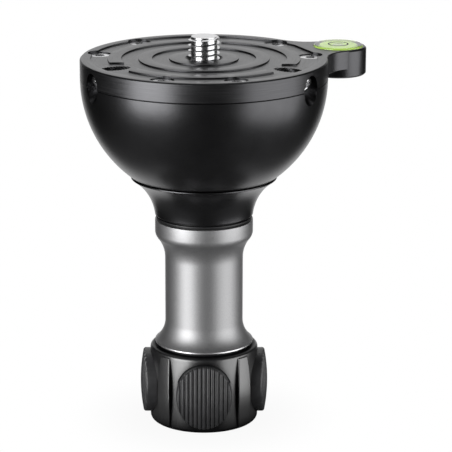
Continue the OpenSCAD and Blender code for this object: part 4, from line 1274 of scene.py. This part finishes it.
class LEVELINGBASE_OT_pads(PieceOperator, bpy.types.Operator):
    """Makes the four ribbed grip pads of the knob"""
    bl_idname = "leveling_base.pads"
    bl_label = "Grip pads"

    face_rings = (0.94, 0.85, 0.72, 0.56, 0.38, 0.2, 0.05)
    groove_root, groove_mouth = 0.08, 0.46
    groove_above, groove_over = 1.2 * MM, 1 * MM
    flank_steps, groove_rows = 7, 30
    end_fade = 4

    def execute(self, context):
        k = settings().knob
        pad = self.pillow(k)
        pitch = 2 * k.pad_width / k.ribs
        groove = self.groove(k, pitch)
        grooves = grown("grooves", copies_in_row(), {
            "Template": groove, "Count": k.ribs - 1, "Pitch": pitch, "Material": FINISHES["pad"]})
        bpy.data.objects.remove(groove)
        self.bow(grooves, k)
        combine(pad, grooves, "DIFFERENCE")
        pads = round_axis("grip_pads", pad, "pad", k.grips, -pi / 2)
        dress(pads, "pad", "knob", "pad_rubber",
              "grip_pad_front", "grip_pad_right", "grip_pad_rear", "grip_pad_left")
        return {"FINISHED"}

    def face(self, k, y, z):
        """Distance of a pad's face from the axis, at a place across and along it."""
        drop = k.pad - sqrt(k.pad ** 2 - y ** 2)
        return k.pad - k.pad_dome + sqrt((k.pad_dome - drop) ** 2 - z ** 2)

    def pillow(self, k):
        """One pad along +X without its grooves: a domed oval with a rounded edge."""
        middle = knob_middle(k)
        edge = k.pad_edge
        rings = [[(k.seat, y, middle + z) for y, z in pad_outline(k, 0)]]
        for inset, drop in rolled(edge):
            rings.append([(self.face(k, y, z) - drop, y, middle + z) for y, z in pad_outline(k, -inset)])
        last = pad_outline(k, -edge)
        for part in self.face_rings:
            rings.append([(self.face(k, y * part, z * part), y * part, middle + z * part) for y, z in last])
        return lofted("grip_pad", rings)

    def groove(self, k, pitch):
        """Cutter of one groove between two round ribs, straight and upright, on the knob's axis."""
        root, mouth = self.groove_root * pitch, self.groove_mouth * pitch
        rib = pitch / 2 - root
        steep = acos((pitch / 2 - mouth) / rib)
        flank = []
        for i in range(self.flank_steps + 1):
            a = steep * i / self.flank_steps
            flank.append((k.rib_depth * (sin(a) - 1), pitch / 2 - rib * cos(a)))
        flank.append((self.groove_above, mouth))
        section = [(x, -y) for x, y in flank] + [(x, y) for x, y in reversed(flank)]
        rings = []
        for i in range(2 * self.groove_rows + 1):
            z = (k.pad_height + self.groove_over) * (i / self.groove_rows - 1)
            rings.append([(x, y, knob_middle(k) + z) for x, y in section])
        return lofted("groove", rings)

    def bow(self, grooves, k):
        """Moves the grooves out to the pad's face and, towards its ends, down over its rounded edge."""
        middle = knob_middle(k)
        end_z, side_x, touch = pad_oval(k)
        edge = k.pad_edge
        for vertex in grooves.data.vertices:
            x, y, z = vertex.co
            across, along = abs(y), abs(z - middle)
            if atan2(along, across + side_x) > touch:
                inside = k.pad_end - hypot(across, along - end_z)
            else:
                inside = k.pad_width + side_x - hypot(across + side_x, along)
            past = min(max(0, edge - inside), edge)
            endwards = (along / hypot(across, along)) ** self.end_fade
            vertex.co.x = x + self.face(k, y, z - middle) - endwards * (edge - sqrt(edge ** 2 - past ** 2))


class LEVELINGBASE_OT_inner_parts(PieceOperator, bpy.types.Operator):
    """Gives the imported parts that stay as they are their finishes"""
    bl_idname = "leveling_base.inner_parts"
    bl_label = "Inner parts"

    finishes = {
        "steel": ("stud_washer", "stud_nut", "tie_rod", "rod_screws", "stop_washer", "stop_screw"),
        "liner": ("clamp_liner",),
        "nylon": ("lower_bush",),
        "brass": ("knob_insert",),
        "plug": ("level_plug",),
    }

    def execute(self, context):
        for finish, nodes in self.finishes.items():
            for node in nodes:
                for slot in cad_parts[node].material_slots:
                    slot.material = FINISHES[finish]
        return {"FINISHED"}


class LEVELINGBASE_OT_stage(PieceOperator, bpy.types.Operator):
    """Sets up the camera, the floor, the softboxes and the white studio round them"""
    bl_idname = "leveling_base.stage"
    bl_label = "Stage"

    middle = Vector((0, 0, -0.045))
    clip = 0.01, 20
    floor_radius, floor_depth, floor_gap = 48 * MM, 10 * MM, 0.05 * MM

    # Shares of the floor's radius, where its fade starts and ends and where its back starts.
    fade_start, fade_end, back_start = 0.3, 0.95, 0.8
    fade_low = 0.94

    # Parts of a view direction: sideways, where the backdrop ends and is full, and upwards, for the table.
    backdrop_edge = 0.5, 0.3
    table_edge = -0.35, -0.85
    table_sides, table_middle = 1.6, 0.5

    def execute(self, context):
        g = settings().stage
        self.camera(g)
        self.floor(g)
        self.world(g)
        self.softbox("left_softbox", g.left, azimuth=-50, elevation=5, distance=2.5, size=(1.9, 2.5))
        self.softbox("right_softbox", g.right, azimuth=68, elevation=1, distance=2.5, size=(2.9, 2.8))
        self.softbox("top_softbox", g.above, azimuth=180, elevation=68, distance=0.8, size=(0.7, 0.5))
        context.scene.view_settings.view_transform = "Standard"
        return {"FINISHED"}

    def camera(self, g):
        """The camera at the photograph's place."""
        data = bpy.data.cameras.new("photo_view")
        data.sensor_width = SENSOR
        data.lens = g.lens
        data.shift_x = g.shift
        data.clip_start, data.clip_end = self.clip
        camera = linked("photo_view", data)
        camera.location = (0, -g.back, g.up)
        camera.rotation_euler = (pi / 2 - g.tilt, g.roll, 0)
        bpy.context.scene.camera = camera

    def white_behind(self, tree, shader, white, behind, fade=None):
        """Shows the white instead of the shader: to the camera, and to gloss and glass that look behind."""
        path = tree.nodes.new("ShaderNodeLightPath").outputs
        camera, glossy, through = (Wire(tree, path["Is %s Ray" % kind])
                                   for kind in ("Camera", "Glossy", "Transmission"))
        seen = camera.math("MAXIMUM", glossy.math("MAXIMUM", through) * behind)
        if fade:
            seen = seen * fade
        return made(tree, "ShaderNodeMixShader", {0: seen, 1: Wire(tree, shader.outputs[0]), 2: white})

    def floor(self, g):
        """A round floor under the knob that keeps the object's soft shadow and fades into the white."""
        wide = self.floor_radius
        z = CAD_BOX[0][2] - self.floor_gap
        low = z - self.floor_depth
        floor = turned("floor", [(0, low), (wide, low), (wide, z), (0, z)])
        tree, shader = add_finish("floor", "pale_floor", g.floor, 0, 0.9, patches=400, shades=(0.99, 1.01))
        x, y, _ = made(tree, "ShaderNodeTexCoord", output="Object").xyz()
        fade = from_axis(x, y).ranged(self.fade_start * wide, self.fade_end * wide, self.fade_low, 1.0,
                                      "SMOOTHSTEP")
        behind = y.math("GREATER_THAN", self.back_start * wide)
        white = made(tree, "ShaderNodeEmission", {"Color": WHITE, "Strength": 1})
        blend = self.white_behind(tree, shader, white, behind, fade)
        blend.into(tree.nodes["Material Output"].inputs["Surface"])
        floor.data.materials.append(FINISHES["floor"])

    def world(self, g):
        """A dim room, a pale table below that is lighter at the sides, and a white backdrop behind."""
        world = bpy.data.worlds.new("studio")
        world.use_nodes = True
        tree = world.node_tree
        room = tree.nodes["Background"]
        room.inputs["Color"].default_value = WHITE
        white = made(tree, "ShaderNodeBackground", {"Color": WHITE, "Strength": 1})
        x, y, z = made(tree, "ShaderNodeTexCoord", output="Generated").xyz()
        aside = x.math("ABSOLUTE")
        behind = aside.ranged(*self.backdrop_edge, easing="SMOOTHSTEP") * y.math("GREATER_THAN", 0)
        table = aside.math("MULTIPLY_ADD", self.table_sides * g.table, self.table_middle * g.table)
        z.ranged(*self.table_edge, g.room, table, "SMOOTHSTEP").into(room.inputs["Strength"])
        blend = self.white_behind(tree, room, white, behind)
        blend.into(tree.nodes["World Output"].inputs["Surface"])
        bpy.context.scene.world = world

    def softbox(self, name, watts, azimuth, elevation, distance, size):
        """A rectangular lamp that looks at the middle of the object."""
        lamp = bpy.data.lights.new(name, "AREA")
        lamp.shape = "RECTANGLE"
        lamp.size, lamp.size_y = size
        lamp.energy = watts
        a, e = radians(azimuth), radians(elevation)
        away = Vector((sin(a) * cos(e), -cos(a) * cos(e), sin(e)))
        obj = linked(name, lamp)
        obj.location = self.middle + away * distance
        obj.rotation_euler = away.to_track_quat("Z", "Y").to_euler()


PIECES = (
    LEVELINGBASE_OT_finishes, LEVELINGBASE_OT_plate, LEVELINGBASE_OT_ball, LEVELINGBASE_OT_plate_screws,
    LEVELINGBASE_OT_stud, LEVELINGBASE_OT_set_screws, LEVELINGBASE_OT_level, LEVELINGBASE_OT_clamp,
    LEVELINGBASE_OT_handle, LEVELINGBASE_OT_knob, LEVELINGBASE_OT_pads, LEVELINGBASE_OT_inner_parts,
    LEVELINGBASE_OT_stage,
)


class LEVELINGBASE_PT_panel(bpy.types.Panel):
    """Lists the pieces of the leveling base and their sizes"""
    bl_idname = "LEVELINGBASE_PT_panel"
    bl_label = "Leveling base"
    bl_space_type = "VIEW_3D"
    bl_region_type = "UI"
    bl_category = "Leveling base"

    def draw(self, context):
        for piece in PIECES:
            self.layout.operator(piece.bl_idname)
        base = context.scene.leveling_base
        for group in base.bl_rna.properties:
            if group.type == "POINTER" and group.identifier != "rna_type":
                box = self.layout.box()
                box.label(text=group.identifier.capitalize())
                values = getattr(base, group.identifier)
                for value in values.bl_rna.properties:
                    if value.identifier not in ("rna_type", "name"):
                        box.prop(values, value.identifier)


GROUPS = (PlateSizes, BallSizes, ScrewSizes, StudSizes, LevelSizes, ClampSizes, KnobSizes, FinishSettings,
          StageSettings, BaseSettings)


def register():
    """Registers every class, and the settings on the scene."""
    for item in GROUPS + PIECES + (LEVELINGBASE_PT_panel,):
        bpy.utils.register_class(item)
    bpy.types.Scene.leveling_base = PointerProperty(type=BaseSettings)


def unregister():
    """Takes back what register does."""
    del bpy.types.Scene.leveling_base
    for item in reversed(GROUPS + PIECES + (LEVELINGBASE_PT_panel,)):
        bpy.utils.unregister_class(item)


def main():
    """Registers the classes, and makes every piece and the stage."""
    register()
    for piece in PIECES:
        group, name = piece.bl_idname.split(".")
        getattr(getattr(bpy.ops, group), name)()


if __name__ == "__main__":
    main()
